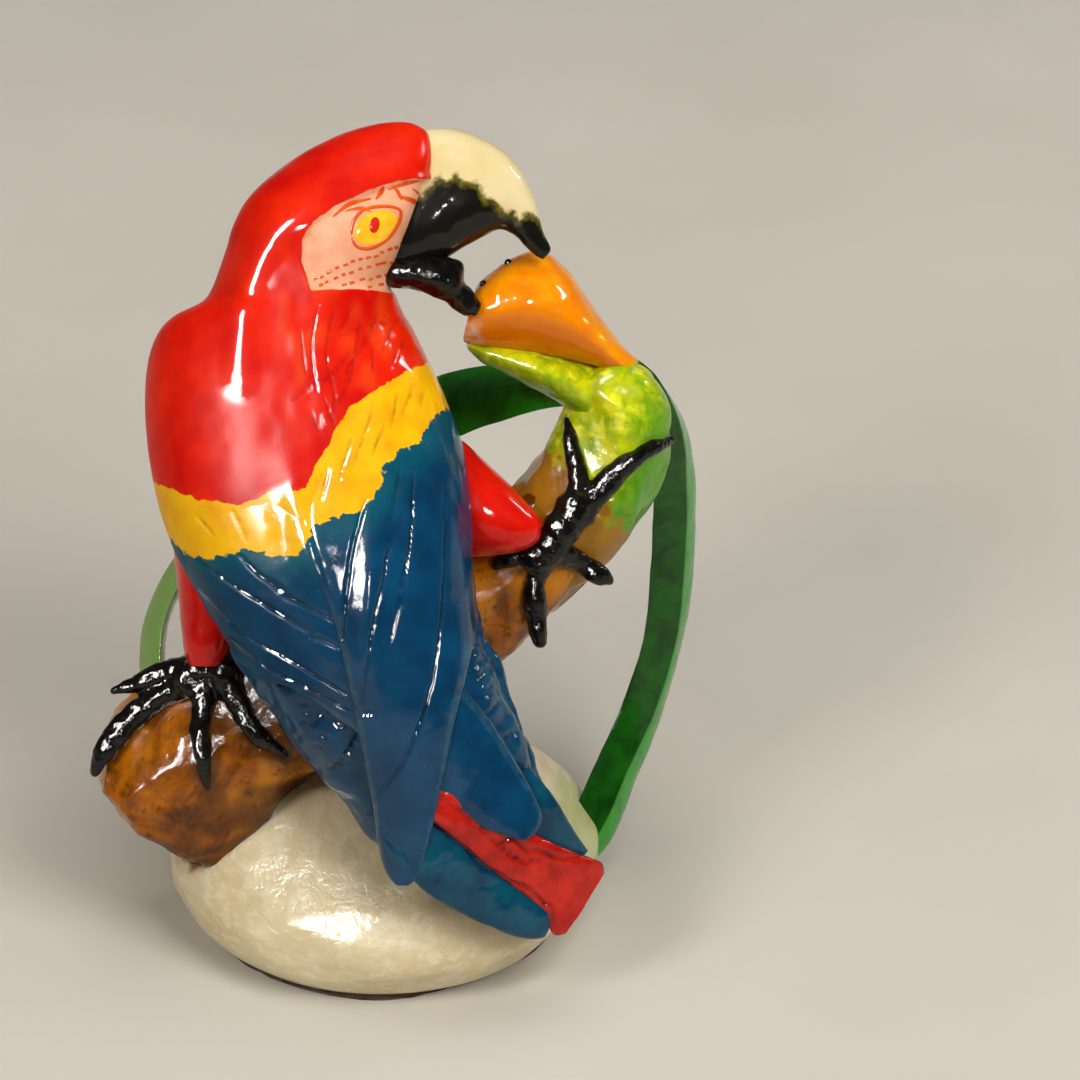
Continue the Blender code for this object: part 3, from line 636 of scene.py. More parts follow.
def makeStem():
    clay, t, angle = ballOf(120, 130)
    p = spanned(stem["stations"], t, angle, 2.0, whittled(angle, t * 6, stem["sides"], 2.2, 55), 0.12)
    p = hewn(clay, p, (0.10, 1.3, 5), (0.05, 0.6, 6))
    earthAndShade = 1.15 - step(0.10, 0.42, t) * 1.45
    # the lower side of the stem is painted darker green, fading out before the bud end: painted shade
    deep = step(-0.2, 0.6, -np.sin(angle) * 0.2 + np.cos(angle)) * step(0.85, 0.5, t) * 0.9
    keep("stem_green", clay, finishes["lime"], "lime", "stem", marks={"earthAndShade": earthAndShade, "deep": deep})
    clay, t, angle = ballOf(80, 110)
    p = spanned(sepal["stations"], t, angle, 1.8, 1.0, 0.12)
    p = hewn(clay, p, (0.08, 1.1, 5), (0.04, 0.5, 6))
    # the underside of the sepal is painted darker and a little brown: painted shade
    under = np.clip(np.cos(angle), 0, 1)
    keep("stem_sepal", clay, finishes["lime"], "lime", marks={"earthAndShade": under * 0.35, "deep": under * 0.8})


makeBranch()
makeStem()

# flower bud
bud = {
    "stations": [
        (6.5, 41.7, 5.8, 39.2, -15.6, 2.0),
        (6.8, 42.8, 6.0, 38.7, -15.6, 3.0),
        (8.7, 44.3, 8.2, 38.3, -15.6, 3.8),
        (11.1, 45.1, 10.9, 37.9, -15.5, 4.0),
        (12.9, 43.8, 13.0, 37.6, -15.2, 3.6),
        (14.9, 41.0, 14.7, 37.2, -14.8, 2.7),
        (16.7, 38.7, 16.0, 36.6, -14.4, 1.9),
        (18.0, 37.5, 17.1, 36.0, -14.0, 1.2),
    ],
    "drops": [(8.1, 42.0), (10.3, 43.0), (12.4, 41.3), (15.4, 38.7), (14.3, 39.8)],
    "dots": [(7.2, 42.7), (8.9, 44.2)],
}


def makeBud():
    clay, t, angle = ballOf(150, 150)
    p = spanned(bud["stations"], t, angle, 1.75, 1.0, 0.10)
    setPoints(clay, p)
    n = normalsOf(clay)
    near = p[:, 1] < -15.5
    lift = 0.06 * lumps(p, 1.5, 3)
    for x, v in bud["drops"]:
        lift = lift + near * 0.16 * np.exp(-(np.hypot(p[:, 0] - x, p[:, 2] - v) / 0.42) ** 2)
    p += n * lift[:, None]
    setPoints(clay, p)
    # the lower half is painted darker: painted shade
    deep = step(0.0, 0.5, np.cos(angle)) * 0.8
    lime = 0.1 * step(0.86, 0.95, t) + 0.9 * step(0.93, 1.0, t) - 0.35
    lime += 0.25 * step(0.75, 1.0, np.cos(angle))
    pale = step(7.6, 6.4, p[:, 0]) * step(40.6, 39.6, p[:, 2]) * 0.75
    keep("flower_bud_orange", clay, finishes["bud"], "orange", "flower_bud",
         marks={"deep": deep, "lime": lime, "pale": pale})


makeBud()

# leaves
leaves = {
    "leaf_right": [
        (17.0, -13.4, 37.6, 0.2, 1.0, 0.0, 0.8, 0.6),
        (18.5, -11.8, 35.9, 0.3, 0.95, 0.1, 1.5, 1.0),
        (20.0, -8.9, 32.9, 0.45, 0.85, 0.3, 2.0, 1.1),
        (20.5, -5.4, 28.9, 0.62, 0.75, 0.3, 2.4, 1.15),
        (20.5, -2.3, 23.8, 0.66, 0.72, 0.2, 2.35, 1.1),
        (19.9, 0.5, 18.2, 0.66, 0.72, 0.2, 2.35, 1.1),
        (18.4, 1.8, 13.1, 0.66, 0.72, 0.0, 2.3, 1.1),
        (16.6, 1.2, 8.8, 0.66, 0.72, -0.1, 2.3, 1.05),
        (14.8, -0.4, 4.8, 0.66, 0.72, -0.2, 2.3, 1.0),
        (13.0, -1.6, 2.6, 0.66, 0.72, -0.2, 1.6, 0.8),
    ],
    "leaf_left": [
        (16.0, -12.4, 35.2, 0.1, 0.4, 0.9, 0.9, 0.6),
        (12.4, -10.2, 35.8, 0.1, 0.5, 0.86, 1.6, 0.8),
        (8.6, -7.4, 35.5, 0.1, 0.5, 0.86, 2.3, 0.9),
        (4.4, -4.4, 34.6, 0.0, 0.5, 0.86, 2.8, 0.9),
        (-2.5, -0.8, 32.0, 0.0, 0.6, 0.8, 2.8, 0.9),
        (-9.0, 1.6, 28.6, -0.1, 0.8, 0.6, 2.6, 0.9),
        (-14.2, 2.6, 23.8, -0.2, 0.95, 0.2, 2.4, 0.9),
        (-16.6, 2.6, 18.8, -0.3, 0.95, 0.0, 2.3, 0.9),
        (-16.4, 1.8, 13.4, -0.3, 0.95, 0.0, 2.2, 0.9),
        (-14.6, 0.8, 8.8, -0.3, 0.95, 0.0, 2.1, 0.9),
        (-12.3, 0.0, 5.6, -0.3, 0.95, 0.0, 1.5, 0.8),
    ],
}


# ring points along a path that carries its own width direction
def ribbon(keys, t, angle, power, ends):
    n = len(keys) - 1
    rows = through(keys, t * n)
    ahead = through(keys, t * n + 0.02)[:, 0:3] - through(keys, t * n - 0.02)[:, 0:3]
    ahead /= np.linalg.norm(ahead, axis=1)[:, None] + 1e-9
    wide = rows[:, 3:6] - ahead * (rows[:, 3:6] * ahead).sum(1)[:, None]
    wide /= np.linalg.norm(wide, axis=1)[:, None]
    thin = np.cross(ahead, wide)
    c = squared(np.cos(angle), power)
    s = squared(np.sin(angle), power)
    close = capped(t, ends)
    out = (c * rows[:, 6] * close)[:, None]
    up = (s * rows[:, 7] * close)[:, None]
    return rows[:, 0:3] + wide * out + thin * up


def makeLeaves():
    for name, keys in leaves.items():
        clay, t, angle = ballOf(72, 260)
        p = ribbon(keys, t, angle, 1.25, 0.06)
        p = hewn(clay, p, (0.06, 2.4, 2), (0.02, 0.8, 4))
        # the outer flat is bright, the inner one dark
        edge = step(-0.1, 0.25, np.cos(angle)) if name == "leaf_right" else np.abs(np.cos(angle)) ** 3 * 0.8
        # the lower end of the left leaf is painted paler green: painted reflection
        pale = step(-11.0, -14.0, p[:, 0]) * 0.75
        keep(name + "_ribbon", clay, finishes["leaf"], "green", name, marks={"edge": edge, "pale": pale})


makeLeaves()
print("branch, stem, bud and leaves done")

# the bird's outline: height, left edge, right edge, middle depth, near half, far half
birdRows = np.array([
    (53.62, 0.9, 1.7, -19.0, 0.4, 0.4),
    (53.5, -0.3, 2.5, -19.0, 1.3, 1.3),
    (52.9, -2.3, 3.4, -19.0, 2.3, 2.3),
    (51.8, -4.7, 3.8, -19.0, 3.3, 3.3),
    (50.6, -6.5, 3.85, -19.0, 4.1, 4.1),
    (49.4, -7.9, 3.6, -19.0, 4.6, 4.7),
    (48.0, -9.1, 3.1, -19.0, 5.0, 5.1),
    (46.4, -9.9, 2.5, -19.0, 5.3, 5.3),
    (45.0, -10.3, 1.9, -18.8, 5.4, 5.4),
    (43.6, -10.8, 1.4, -18.5, 5.5, 5.4),
    (42.4, -11.3, 1.15, -18.2, 5.7, 5.5),
    (41.5, -12.0, 1.4, -17.8, 6.1, 5.8),
    (40.6, -13.8, 1.8, -17.4, 6.6, 6.3),
    (39.6, -14.9, 2.4, -17.1, 7.0, 6.8),
    (38.0, -15.6, 3.2, -17.0, 7.4, 7.1),
    (36.0, -15.9, 4.2, -17.0, 7.8, 7.3),
    (34.0, -15.95, 5.0, -17.0, 8.0, 7.2),
    (32.0, -15.8, 5.7, -17.0, 8.1, 6.8),
    (30.0, -15.5, 6.2, -17.2, 8.1, 6.0),
    (28.0, -15.1, 6.4, -17.3, 8.0, 5.2),
    (26.0, -14.5, 6.5, -17.5, 7.7, 4.4),
    (24.0, -13.7, 6.5, -17.6, 7.4, 3.8),
    (22.0, -12.6, 6.6, -17.7, 7.1, 3.4),
    (20.0, -11.5, 6.8, -17.8, 6.7, 3.2),
    (17.0, -9.6, 7.6, -18.0, 5.9, 2.8),
    (13.0, -7.0, 9.3, -18.0, 4.8, 2.2),
    (9.0, -4.0, 11.1, -17.6, 3.7, 1.6),
    (5.0, -1.0, 12.7, -17.2, 2.9, 1.2),
    (1.0, 0.2, 14.0, -16.8, 2.4, 1.0),
])
backPower = 2.25
birdFine = through(birdRows, np.linspace(0, len(birdRows) - 1, 3000))


def birdRow(v):
    return np.stack([np.interp(-v, -birdFine[:, 0], birdFine[:, k]) for k in range(6)], 1)


def backDepth(x, v):
    row = birdRow(v)
    u = np.abs(x - (row[:, 1] + row[:, 2]) / 2) / ((row[:, 2] - row[:, 1]) / 2)
    return row[:, 3] - row[:, 4] * np.maximum(1 - np.minimum(u, 1) ** backPower, 0) ** (1 / backPower)


paintLines = {
    "high": [(-17.3, 29.9), (-14.9, 29.0), (-11.9, 27.9), (-9.0, 27.6), (-7.0, 28.4), (-4.6, 28.6),
        (-3.8, 30.3), (-2.6, 32.6), (-1.7, 34.1), (0.4, 35.6), (3.2, 37.2), (6.3, 38.7)],
    "low": [(-17.3, 26.5), (-13.9, 25.1), (-12.7, 24.1), (-10.9, 23.9), (-8.8, 24.5), (-6.8, 24.1),
        (-5.1, 24.1), (-4.0, 26.1), (-2.6, 26.8), (-1.1, 27.0), (0.1, 28.4), (0.7, 30.2), (1.6, 31.1),
        (3.0, 31.8), (3.9, 33.7), (5.1, 34.2), (7.7, 36.0)],
    "face": [(-5.0, 43.9), (-4.9, 45.4), (-4.2, 46.6), (-2.8, 47.6), (-0.7, 48.6), (1.6, 49.4),
        (3.7, 49.7), (4.3, 48.1), (2.8, 46.4), (2.0, 43.9), (1.2, 42.0), (-1.6, 42.1), (-4.3, 42.0)],
}
cuts = {
    "neck": [
        [(-3.9, 40.9), (-4.3, 38.0), (-3.9, 35.2)],
        [(-2.8, 40.5), (-3.3, 37.8), (-2.7, 34.6), (-3.1, 33.3)],
        [(-5.1, 39.3), (-4.7, 36.5)], [(-1.0, 39.9), (-1.3, 38.0), (-1.7, 36.1), (-2.8, 33.6)],
        [(-2.4, 39.0), (0.6, 39.9), (2.5, 40.1)], [(0.0, 39.3), (-1.6, 37.2), (-2.0, 35.7)],
        [(-4.4, 35.6), (-3.1, 36.1), (-1.6, 38.0)],
        [(-5.4, 34.6), (-3.9, 36.0)], [(-0.2, 38.0), (-0.1, 36.5)],
        [(-1.4, 41.0), (-2.4, 39.3)], [(0.2, 40.5), (-0.6, 38.7)],
        [(1.4, 40.0), (0.3, 37.8)], [(2.0, 39.0), (1.1, 36.9)],
        [(-3.4, 34.6), (-2.7, 32.9)], [(-4.4, 33.9), (-3.6, 32.2)],
        [(0.0, 35.0), (-0.6, 32.6), (-1.6, 29.9)], [(1.5, 35.2), (1.1, 32.9)],
        [(2.5, 35.6), (1.9, 33.8)], [(-1.6, 31.9), (-2.4, 29.2)],
        [(-3.1, 29.9), (-3.6, 27.9)], [(-12.1, 26.9), (-10.9, 25.5)], [(-9.6, 27.1), (-8.7, 25.2)],
        [(0.6, 32.9), (-0.2, 30.9)], [(3.3, 35.4), (3.0, 34.3)],
    ],
    "wingRight": [
        [(-0.6, 27.9), (-1.5, 24.9), (-1.9, 21.8), (-2.2, 18.5)],
        [(1.7, 30.0), (1.1, 26.5), (0.6, 22.9), (-0.1, 19.8), (-0.9, 14.5)],
        [(4.6, 29.9), (4.7, 23.9), (4.3, 18.5), (3.5, 14.4), (1.9, 10.4), (-0.1, 7.7)],
        [(2.5, 30.9), (2.5, 26.5), (1.8, 21.8), (1.0, 18.5)],
        [(-1.6, 13.4), (0.0, 13.6)],
    ],
    "wingLeft": [
        [(-9.1, 24.1), (-7.2, 22.4), (-5.1, 21.0), (-2.5, 19.7)],
        [(-13.1, 24.9), (-10.3, 22.6), (-6.7, 20.4), (-2.5, 17.9)],
        [(-12.1, 21.8), (-9.4, 19.1), (-5.7, 17.0), (-2.0, 14.8)],
        [(-9.9, 18.5), (-7.6, 16.6), (-5.1, 15.4), (-1.7, 13.6)],
    ],
    "coverts": [
        [(-7.8, 14.9), (-5.2, 15.5), (-1.7, 12.8)],
        [(-5.8, 11.6), (-4.7, 12.4), (-3.1, 14.1)], [(-3.5, 9.2), (-2.5, 10.1), (-1.4, 11.5)],
        [(5.6, 13.5), (8.4, 10.0), (10.8, 7.5)], [(6.7, 15.5), (7.8, 16.8)],
        [(8.7, 11.6), (9.8, 12.4)],
    ],
    "hatch": [
        [(-5.5, 13.9), (-4.8, 13.8)], [(-5.5, 13.4), (-4.7, 13.2)], [(-5.4, 12.8), (-4.6, 12.6)],
        [(-5.4, 12.2), (-4.8, 11.9)], [(-4.0, 11.9), (-3.3, 11.7)], [(-4.2, 11.3), (-3.5, 11.1)],
        [(-3.2, 13.5), (-2.5, 13.2)], [(-3.1, 12.8), (-2.3, 12.4)], [(-2.9, 10.2), (-1.8, 10.8)],
        [(-2.9, 9.6), (-1.7, 10.1)], [(6.3, 16.5), (6.9, 17.7)], [(6.6, 16.0), (7.3, 17.3)],
        [(7.0, 15.4), (7.8, 16.8)], [(7.4, 14.9), (8.2, 16.0)], [(6.9, 14.3), (7.9, 15.0)],
        [(6.3, 18.4), (7.0, 18.9)], [(6.3, 17.7), (7.1, 18.4)], [(7.7, 13.5), (8.4, 14.3)],
    ],
}


# depth of the knife lines at each point, and the same as a mark for the paint
def carve(p, names, deep, wide, jitter=0.25):
    x = p[:, 0] + 0.05 * lumps(p, 0.8, 11)
    v = p[:, 2] + 0.05 * lumps(p, 0.8, 12)
    total = np.zeros(len(p))
    tooth = 0.85 + 0.3 * lumps(p, 0.22, 13)
    for name in names:
        for line in cuts[name]:
            gap, along = lineDistance(x, v, drawnOut(line, 5) if len(line) > 2 else line)
            fade = np.sin(np.clip(along * 0.94 + 0.03, 0, 1) * math.pi) ** 0.35
            fade = fade * (0.75 + jitter * np.sin(along * 37 + len(line))) * tooth
            total = np.maximum(total, fade * np.exp(-(gap / wide) ** 2))
    return total * deep, total


# 1 where the surface faces the near side
def facing(n):
    return np.clip(-n[:, 1] * 1.5, 0, 1)


# every mark that the bird's paint reads: distances to its borders, and nothing for the rest
def paintMarks(p, extra):
    x, v = p[:, 0], p[:, 2]
    marks = {}
    for mark, name in (("bandHigh", "high"), ("bandLow", "low")):
        line = np.array(paintLines[name])
        gap, _ = lineDistance(x, v, line)
        above = v > np.interp(x, line[:, 0], line[:, 1])
        marks[mark] = np.where(above, gap, -gap)
    marks["face"] = np.full(len(x), -5.0)
    for mark in ("blush", "bare", "dull", "cut", "edge"):
        marks[mark] = np.zeros(len(x))
    marks.update(extra)
    return marks


# head and torso
def ridged(p, lines):
    total = np.zeros(len(p))
    for line, high, wide in lines:
        gap, along = lineDistance(p[:, 0], p[:, 2], drawnOut(line, 5))
        fade = np.sin(np.clip(along * 0.9 + 0.05, 0, 1) * math.pi) ** 0.5
        total += high * fade * np.exp(-(gap / wide) ** 2)
    return total


# crowds the points towards the near side, which is the one that shows
def nearer(angle):
    return angle + 0.42 * np.cos(angle)


def makeBody():
    clay, t, angle = ballOf(336, 290)
    low = 19.0
    v = birdRows[0, 0] + 0.02 - (birdRows[0, 0] - low) * (0.5 - 0.5 * np.cos(t * math.pi)) ** 0.92
    row = birdRow(v)
    # the cheek is squarer than the nape
    turn = nearer(angle)
    power = backPower + 1.3 * step(42.5, 45.5, v) * (np.cos(turn) > 0)
    c = squared(np.cos(turn), power)
    s = squared(np.sin(turn), power)
    closeLow = np.sqrt(np.clip(1 - (1 - np.minimum((1 - t) / 0.10, 1)) ** 2, 0, 1))
    sunk = step(24.5, 21.5, v) * 1.6
    x = (row[:, 1] + row[:, 2]) / 2 + (row[:, 2] - row[:, 1]) / 2 * c * closeLow
    near = np.maximum(row[:, 4] - sunk, 0.4)
    d = row[:, 3] - np.where(s > 0, near, row[:, 5]) * s * closeLow
    p = np.stack([x, d, v], 1)
    setPoints(clay, p)
    n = normalsOf(clay)
    seen = facing(n)
    face = areaDistance(p[:, 0], p[:, 2], paintLines["face"])
    lift = -0.28 * step(-0.10, 0.25, face)
    # the cap's front edge stands over the beak, and a low brow runs back from it
    lift = lift + 0.22 * np.exp(-(np.abs(face) / 0.30) ** 2) * step(47.0, 49.0, p[:, 2]) * (face < 0.1)
    depth, cutMark = carve(p, ["neck"], 0.17, 0.10, 0.12)
    lift = lift - depth * seen
    # a soft ridge runs down the nape, another where the wings meet
    lift = lift + ridged(p, ridges[:2]) * seen
    lift = lift + 0.05 * lumps(p, 2.6, 1) + 0.015 * lumps(p, 1.0, 2)
    # feather relief over the upper back
    ruffle = step(46.0, 42.0, p[:, 2]) * step(30.0, 34.0, p[:, 2]) * step(-9.0, -5.0, p[:, 0])
    lift = lift + 0.09 * ruffle * lumps(p * (1.0, 1.0, 0.45), 0.9, 6) * seen
    p = p + n * lift[:, None]
    setPoints(clay, p)
    eye = np.hypot((p[:, 0] - eyeAt[0]) / 1.7, (p[:, 2] - eyeAt[1]) / 1.45)
    blush = np.clip(1.25 - eye, 0, 1) * 0.55
    bare = 0.35 * ruffle * step(0.0, 0.8, lumps(p * (1.0, 1.0, 0.5), 1.1, 21)) * seen
    streak, _ = lineDistance(p[:, 0], p[:, 2], drawnOut(ridges[0][0], 4))
    fold = -3.0 - 3.2 * step(30.0, 28.0, p[:, 2])
    dull = step(0.9, 2.0, streak) * step(50.5, 48.5, p[:, 2]) * step(0.0, -2.2, p[:, 0] - fold)
    dull = np.maximum(dull, 0.5 * step(49.5, 51.0, p[:, 2]))
    dull = np.maximum(dull, 0.9 * step(-0.1, 0.1, face))
    # the cut mark paints shade into the knife lines
    cut = cutMark * 0.8 * seen
    marks = paintMarks(p, {"face": face, "blush": blush, "cut": cut, "bare": bare, "dull": dull})
    marks["bandHigh"] = np.maximum(marks["bandHigh"], np.where(p[:, 1] > -12.0, 3.0, -9))
    keep("macaw_head_torso", clay, finishes["bird"], "red", "macaw_body", marks=marks)


eyeAt = [(0.01, 46.31)][0]
ridges = [
    ([(-3.9, 47.8), (-5.3, 46.9), (-6.8, 45.5), (-8.0, 43.6), (-8.7, 41.5), (-9.0, 39.3),
        (-9.1, 36.0)], 0.50, 1.30),
    ([(-5.7, 29.9), (-4.9, 26.9), (-3.9, 23.5), (-2.5, 20.5)], 0.48, 1.1),
    ([(0.0, 27.6), (-0.3, 22.5), (-0.9, 15.8)], 0.42, 0.9),
]


# a shell lying on the back, and how far across it each point is
# keys: left x, left height, right x, right height, lift, half thickness
def plateOn(keys, t, angle, power, ends):
    n = len(keys) - 1
    rows = through(keys, t * n)
    c = squared(np.cos(angle), power)
    s = squared(np.sin(angle), power)
    close = capped(t, ends)
    side = 0.5 - 0.5 * c * close
    x = rows[:, 0] + (rows[:, 2] - rows[:, 0]) * side
    v = rows[:, 1] + (rows[:, 3] - rows[:, 1]) * side
    d = backDepth(x, v) - rows[:, 4] + rows[:, 5] - rows[:, 5] * s * close
    return np.stack([x, d, v], 1), side


wings = {
    "wing_right": {
        "keys": [
            (-3.0, 36.0, 1.5, 36.0, -0.9, 0.8),
            (-4.2, 34.4, 4.2, 34.4, -0.55, 1.1),
            (-4.9, 31.4, 5.7, 31.4, -0.18, 1.3),
            (-4.9, 28.6, 6.2, 28.6, 0.30, 1.3),
            (-4.4, 26.0, 6.35, 26.0, 0.68, 1.25),
            (-3.7, 23.6, 6.5, 23.6, 0.92, 1.2),
            (-2.8, 20.0, 6.8, 20.0, 1.08, 1.05),
            (-2.25, 17.4, 6.4, 17.4, 1.1, 0.95),
            (-1.5, 14.0, 5.6, 14.0, 1.1, 0.9),
            (-0.95, 10.8, 4.9, 10.8, 1.1, 0.85),
            (-0.3, 7.4, 4.2, 7.4, 1.05, 0.8),
            (0.0, 4.6, 3.5, 4.6, 1.0, 0.75),
            (0.35, 3.0, 3.05, 3.0, 0.9, 0.65),
            (0.8, 2.15, 2.65, 2.15, 0.86, 0.55),
            (1.3, 1.65, 2.1, 1.65, 0.85, 0.4),
        ],
        "cuts": ["wingRight", "neck"],
    },
    "wing_left": {
        "keys": [
            (-14.0, 36.0, -9.0, 36.4, -0.9, 0.8),
            (-15.3, 33.0, -6.5, 34.0, -0.5, 1.1),
            (-15.4, 30.0, -4.6, 31.0, -0.22, 1.3),
            (-14.9, 27.2, -3.4, 28.0, 0.0, 1.3),
            (-13.9, 24.4, -2.0, 25.2, 0.22, 1.2),
            (-12.3, 21.4, -0.2, 22.2, 0.32, 1.15),
            (-10.4, 18.5, 1.8, 19.4, 0.35, 1.05),
            (-8.6, 15.9, 4.2, 17.2, 0.35, 1.0),
            (-5.9, 15.2, 6.3, 14.8, 0.35, 0.95),
            (-2.0, 12.7, 8.0, 12.6, 0.35, 0.9),
            (1.5, 9.9, 9.4, 10.2, 0.35, 0.85),
            (4.4, 7.4, 10.6, 8.1, 0.35, 0.8),
            (7.2, 5.7, 11.2, 6.4, 0.35, 0.7),
            (9.0, 5.0, 10.8, 5.3, 0.3, 0.5),
            (9.7, 4.8, 10.2, 4.85, 0.3, 0.3),
        ],
        "cuts": ["wingLeft", "neck"],
    },
}


def makeWings():
    for name, spec in wings.items():
        clay, t, angle = ballOf(270, 330)
        p, side = plateOn(spec["keys"], t, nearer(angle), 3.0, 0.035)
        setPoints(clay, p)
        n = normalsOf(clay)
        seen = facing(n)
        long, longMark = carve(p, spec["cuts"][:1], 0.34, 0.11, 0.10)
        short, shortMark = carve(p, spec["cuts"][1:], 0.12, 0.11)
        lift = (ridged(p, ridges[1:]) - long - short) * seen
        lift += 0.04 * lumps(p, 2.2, 1) + 0.02 * lumps(p, 0.8, 2)
        p = p + n * lift[:, None]
        setPoints(clay, p)
        # pale rims on the right wing's left edge and the lower plate rims: partly wear, partly painted
        # highlight
        edge = np.clip(1 - side / 0.05, 0, 1) * step(24, 18, p[:, 2]) * (name == "wing_right") * 0.8
        edge = np.maximum(edge, 0.5 * step(0.30, 0.16, np.abs(np.sin(angle))) * step(22, 16, p[:, 2]))
        # away from the fold and the knife lines the left wing is duller
        fromFold = p[:, 0] + 0.45 * (p[:, 2] - 27).clip(-9, 9)
        dull = 0.9 * step(0.25, 0.02, longMark) * step(-7.0, -8.8, fromFold)
        # the cut mark paints shade into the knife lines
        cut = np.maximum(longMark, shortMark * 0.5) * seen
        bare = shortMark * seen * 0.2
        marks = paintMarks(p, {"cut": cut, "edge": edge, "bare": bare, "dull": dull})
        keep(name + "_feathers", clay, finishes["bird"], "blue", name, marks=marks)


coverts = [
    (-10.4, 17.8, 6.3, 22.2, -0.7, 1.0),
    (-9.5, 16.7, 6.9, 20.6, -0.55, 1.2),
    (-7.8, 14.2, 7.9, 17.6, -0.45, 1.3),
    (-5.2, 10.5, 9.7, 12.9, -0.5, 1.3),
    (-2.7, 7.6, 10.9, 9.3, -0.7, 1.1),
    (-0.9, 5.3, 11.9, 7.3, -1.3, 0.9),
    (0.5, 3.9, 11.7, 6.4, -1.7, 0.6),
]


coverHollows = [
    ([(-8.6, 16.2), (-5.2, 15.0), (-1.8, 12.8), (-0.3, 7.5)], 2.6),
    ([(6.6, 19.8), (5.8, 16.0), (6.0, 13.2), (9.2, 9.9), (11.1, 7.5)], 1.8),
]


def makeCoverts():
    clay, t, angle = ballOf(260, 220)
    p, _ = plateOn(coverts, t, nearer(angle), 3.0, 0.03)
    setPoints(clay, p)
    n = normalsOf(clay)
    seen = facing(n)
    long, longMark = carve(p, ["coverts"], 0.30, 0.20)
    short, shortMark = carve(p, ["hatch"], 0.22, 0.15)
    # the facets either side of the folded wings are scooped out
    for line, reach in coverHollows:
        gap, _ = lineDistance(p[:, 0], p[:, 2], line)
        p = p + n * (-0.75 * step(reach, 0.0, gap) * seen)[:, None]
    lift = -(long + short) * seen + 0.30 * lumps(p, 1.9, 4) + 0.06 * lumps(p, 0.7, 5)
    p = p + n * lift[:, None]
    setPoints(clay, p)
    # pale rims on the coverts: partly wear, partly painted highlight
    edge = 0.4 * step(0.35, 0.1, np.abs(np.sin(angle)))
    # the cut mark paints shade into the knife lines and hatching
    keep("tail_coverts_cut", clay, finishes["bird"], "blue", "tail_coverts",
         marks=paintMarks(p, {"cut": np.maximum(longMark, 0.6 * shortMark) * seen, "edge": edge}))


makeBody()
makeWings()
makeCoverts()
print("body, wings and coverts done")

# beak
upperBeak = {
    "stations": [
        (1.4, 51.8, -0.1, 45.0, -19.0, 1.4),
        (2.3, 52.7, 0.4, 43.5, -19.0, 1.9),
        (3.2, 53.1, 1.5, 43.3, -19.0, 2.3),
        (4.3, 53.2, 3.0, 43.7, -19.0, 2.5),
        (6.0, 53.0, 4.5, 44.3, -19.0, 2.5),
        (7.8, 52.2, 5.8, 45.1, -19.0, 2.3),
        (9.2, 51.1, 7.1, 45.8, -19.0, 2.0),
        (10.2, 49.5, 8.3, 46.3, -19.0, 1.6),
        (10.9, 47.9, 9.3, 46.0, -19.0, 1.2),
        (11.3, 46.3, 10.0, 45.3, -19.0, 0.85),
        (11.8, 45.2, 10.7, 44.6, -19.0, 0.5),
        (11.7, 44.7, 11.3, 44.3, -19.0, 0.25),
    ],
    "dark": [(1.2, 47.9), (3.2, 48.5), (3.7, 49.1), (4.3, 49.8), (4.8, 49.4), (5.4, 49.9), (5.8, 49.4),
        (6.6, 49.4), (7.0, 49.0), (7.3, 48.2), (7.9, 48.2), (8.4, 47.7), (8.6, 47.3), (9.2, 47.5),
        (9.6, 46.9), (10.3, 47.4), (11.1, 46.9), (12.4, 44.9), (11.7, 43.2), (4.3, 41.5), (0.2, 41.5)],
}
lowerBeak = {
    "stations": [
        (0.4, 44.4, 0.3, 42.6, -19.2, 1.3),
        (1.5, 44.4, 1.3, 42.3, -19.2, 1.9),
        (2.9, 44.5, 2.5, 42.2, -19.2, 2.1),
        (4.5, 44.5, 3.7, 41.8, -19.2, 2.0),
        (5.8, 44.0, 4.7, 41.3, -19.2, 1.6),
        (5.9, 42.8, 5.3, 40.8, -19.2, 1.2),
        (6.6, 42.0, 6.0, 40.5, -19.2, 0.9),
        (7.2, 41.3, 6.8, 40.5, -19.2, 0.4),
    ],
}


def makeBeak():
    clay, t, angle = ballOf(150, 170)
    p = spanned(upperBeak["stations"], t, angle, 2.1, 1.0, 0.05)
    p = hewn(clay, p, (0.05, 1.6, 3), (0.02, 0.6, 4))
    dark = areaDistance(p[:, 0], p[:, 2], upperBeak["dark"])
    keep("upper_beak_hook", clay, finishes["beak"], "cream", "upper_beak", marks={"dark": dark})
    clay, t, angle = ballOf(90, 100)
    p = spanned(lowerBeak["stations"], t, angle, 2.1, 1.0, 0.08)
    p = hewn(clay, p, (0.10, 0.9, 3), (0.04, 0.4, 4))
    keep("lower_beak_black", clay, finishes["black"], "black", "lower_beak")


makeBeak()

# thighs
thighs = {
    "thigh_right": [
        (3.9, 32.8, 4.1, 24.0, -15.2, 3.4),
        (5.2, 32.4, 5.6, 24.0, -15.3, 3.5),
        (6.9, 31.0, 7.2, 24.1, -15.7, 3.3),
        (8.7, 29.3, 8.7, 24.2, -16.0, 2.9),
        (10.1, 27.9, 10.0, 24.5, -16.2, 2.3),
        (10.9, 27.0, 10.8, 25.0, -16.4, 1.5),
        (11.3, 26.4, 11.1, 25.5, -16.4, 0.8),
    ],
    "thigh_left": [
        (-14.2, 24.9, -8.9, 24.9, -14.5, 3.0),
        (-13.9, 22.4, -9.3, 22.4, -14.3, 2.8),
        (-13.7, 19.7, -9.9, 19.7, -14.2, 2.4),
        (-13.5, 17.6, -10.4, 17.6, -14.2, 1.9),
        (-13.1, 16.4, -11.1, 16.4, -14.2, 1.2),
    ],
}


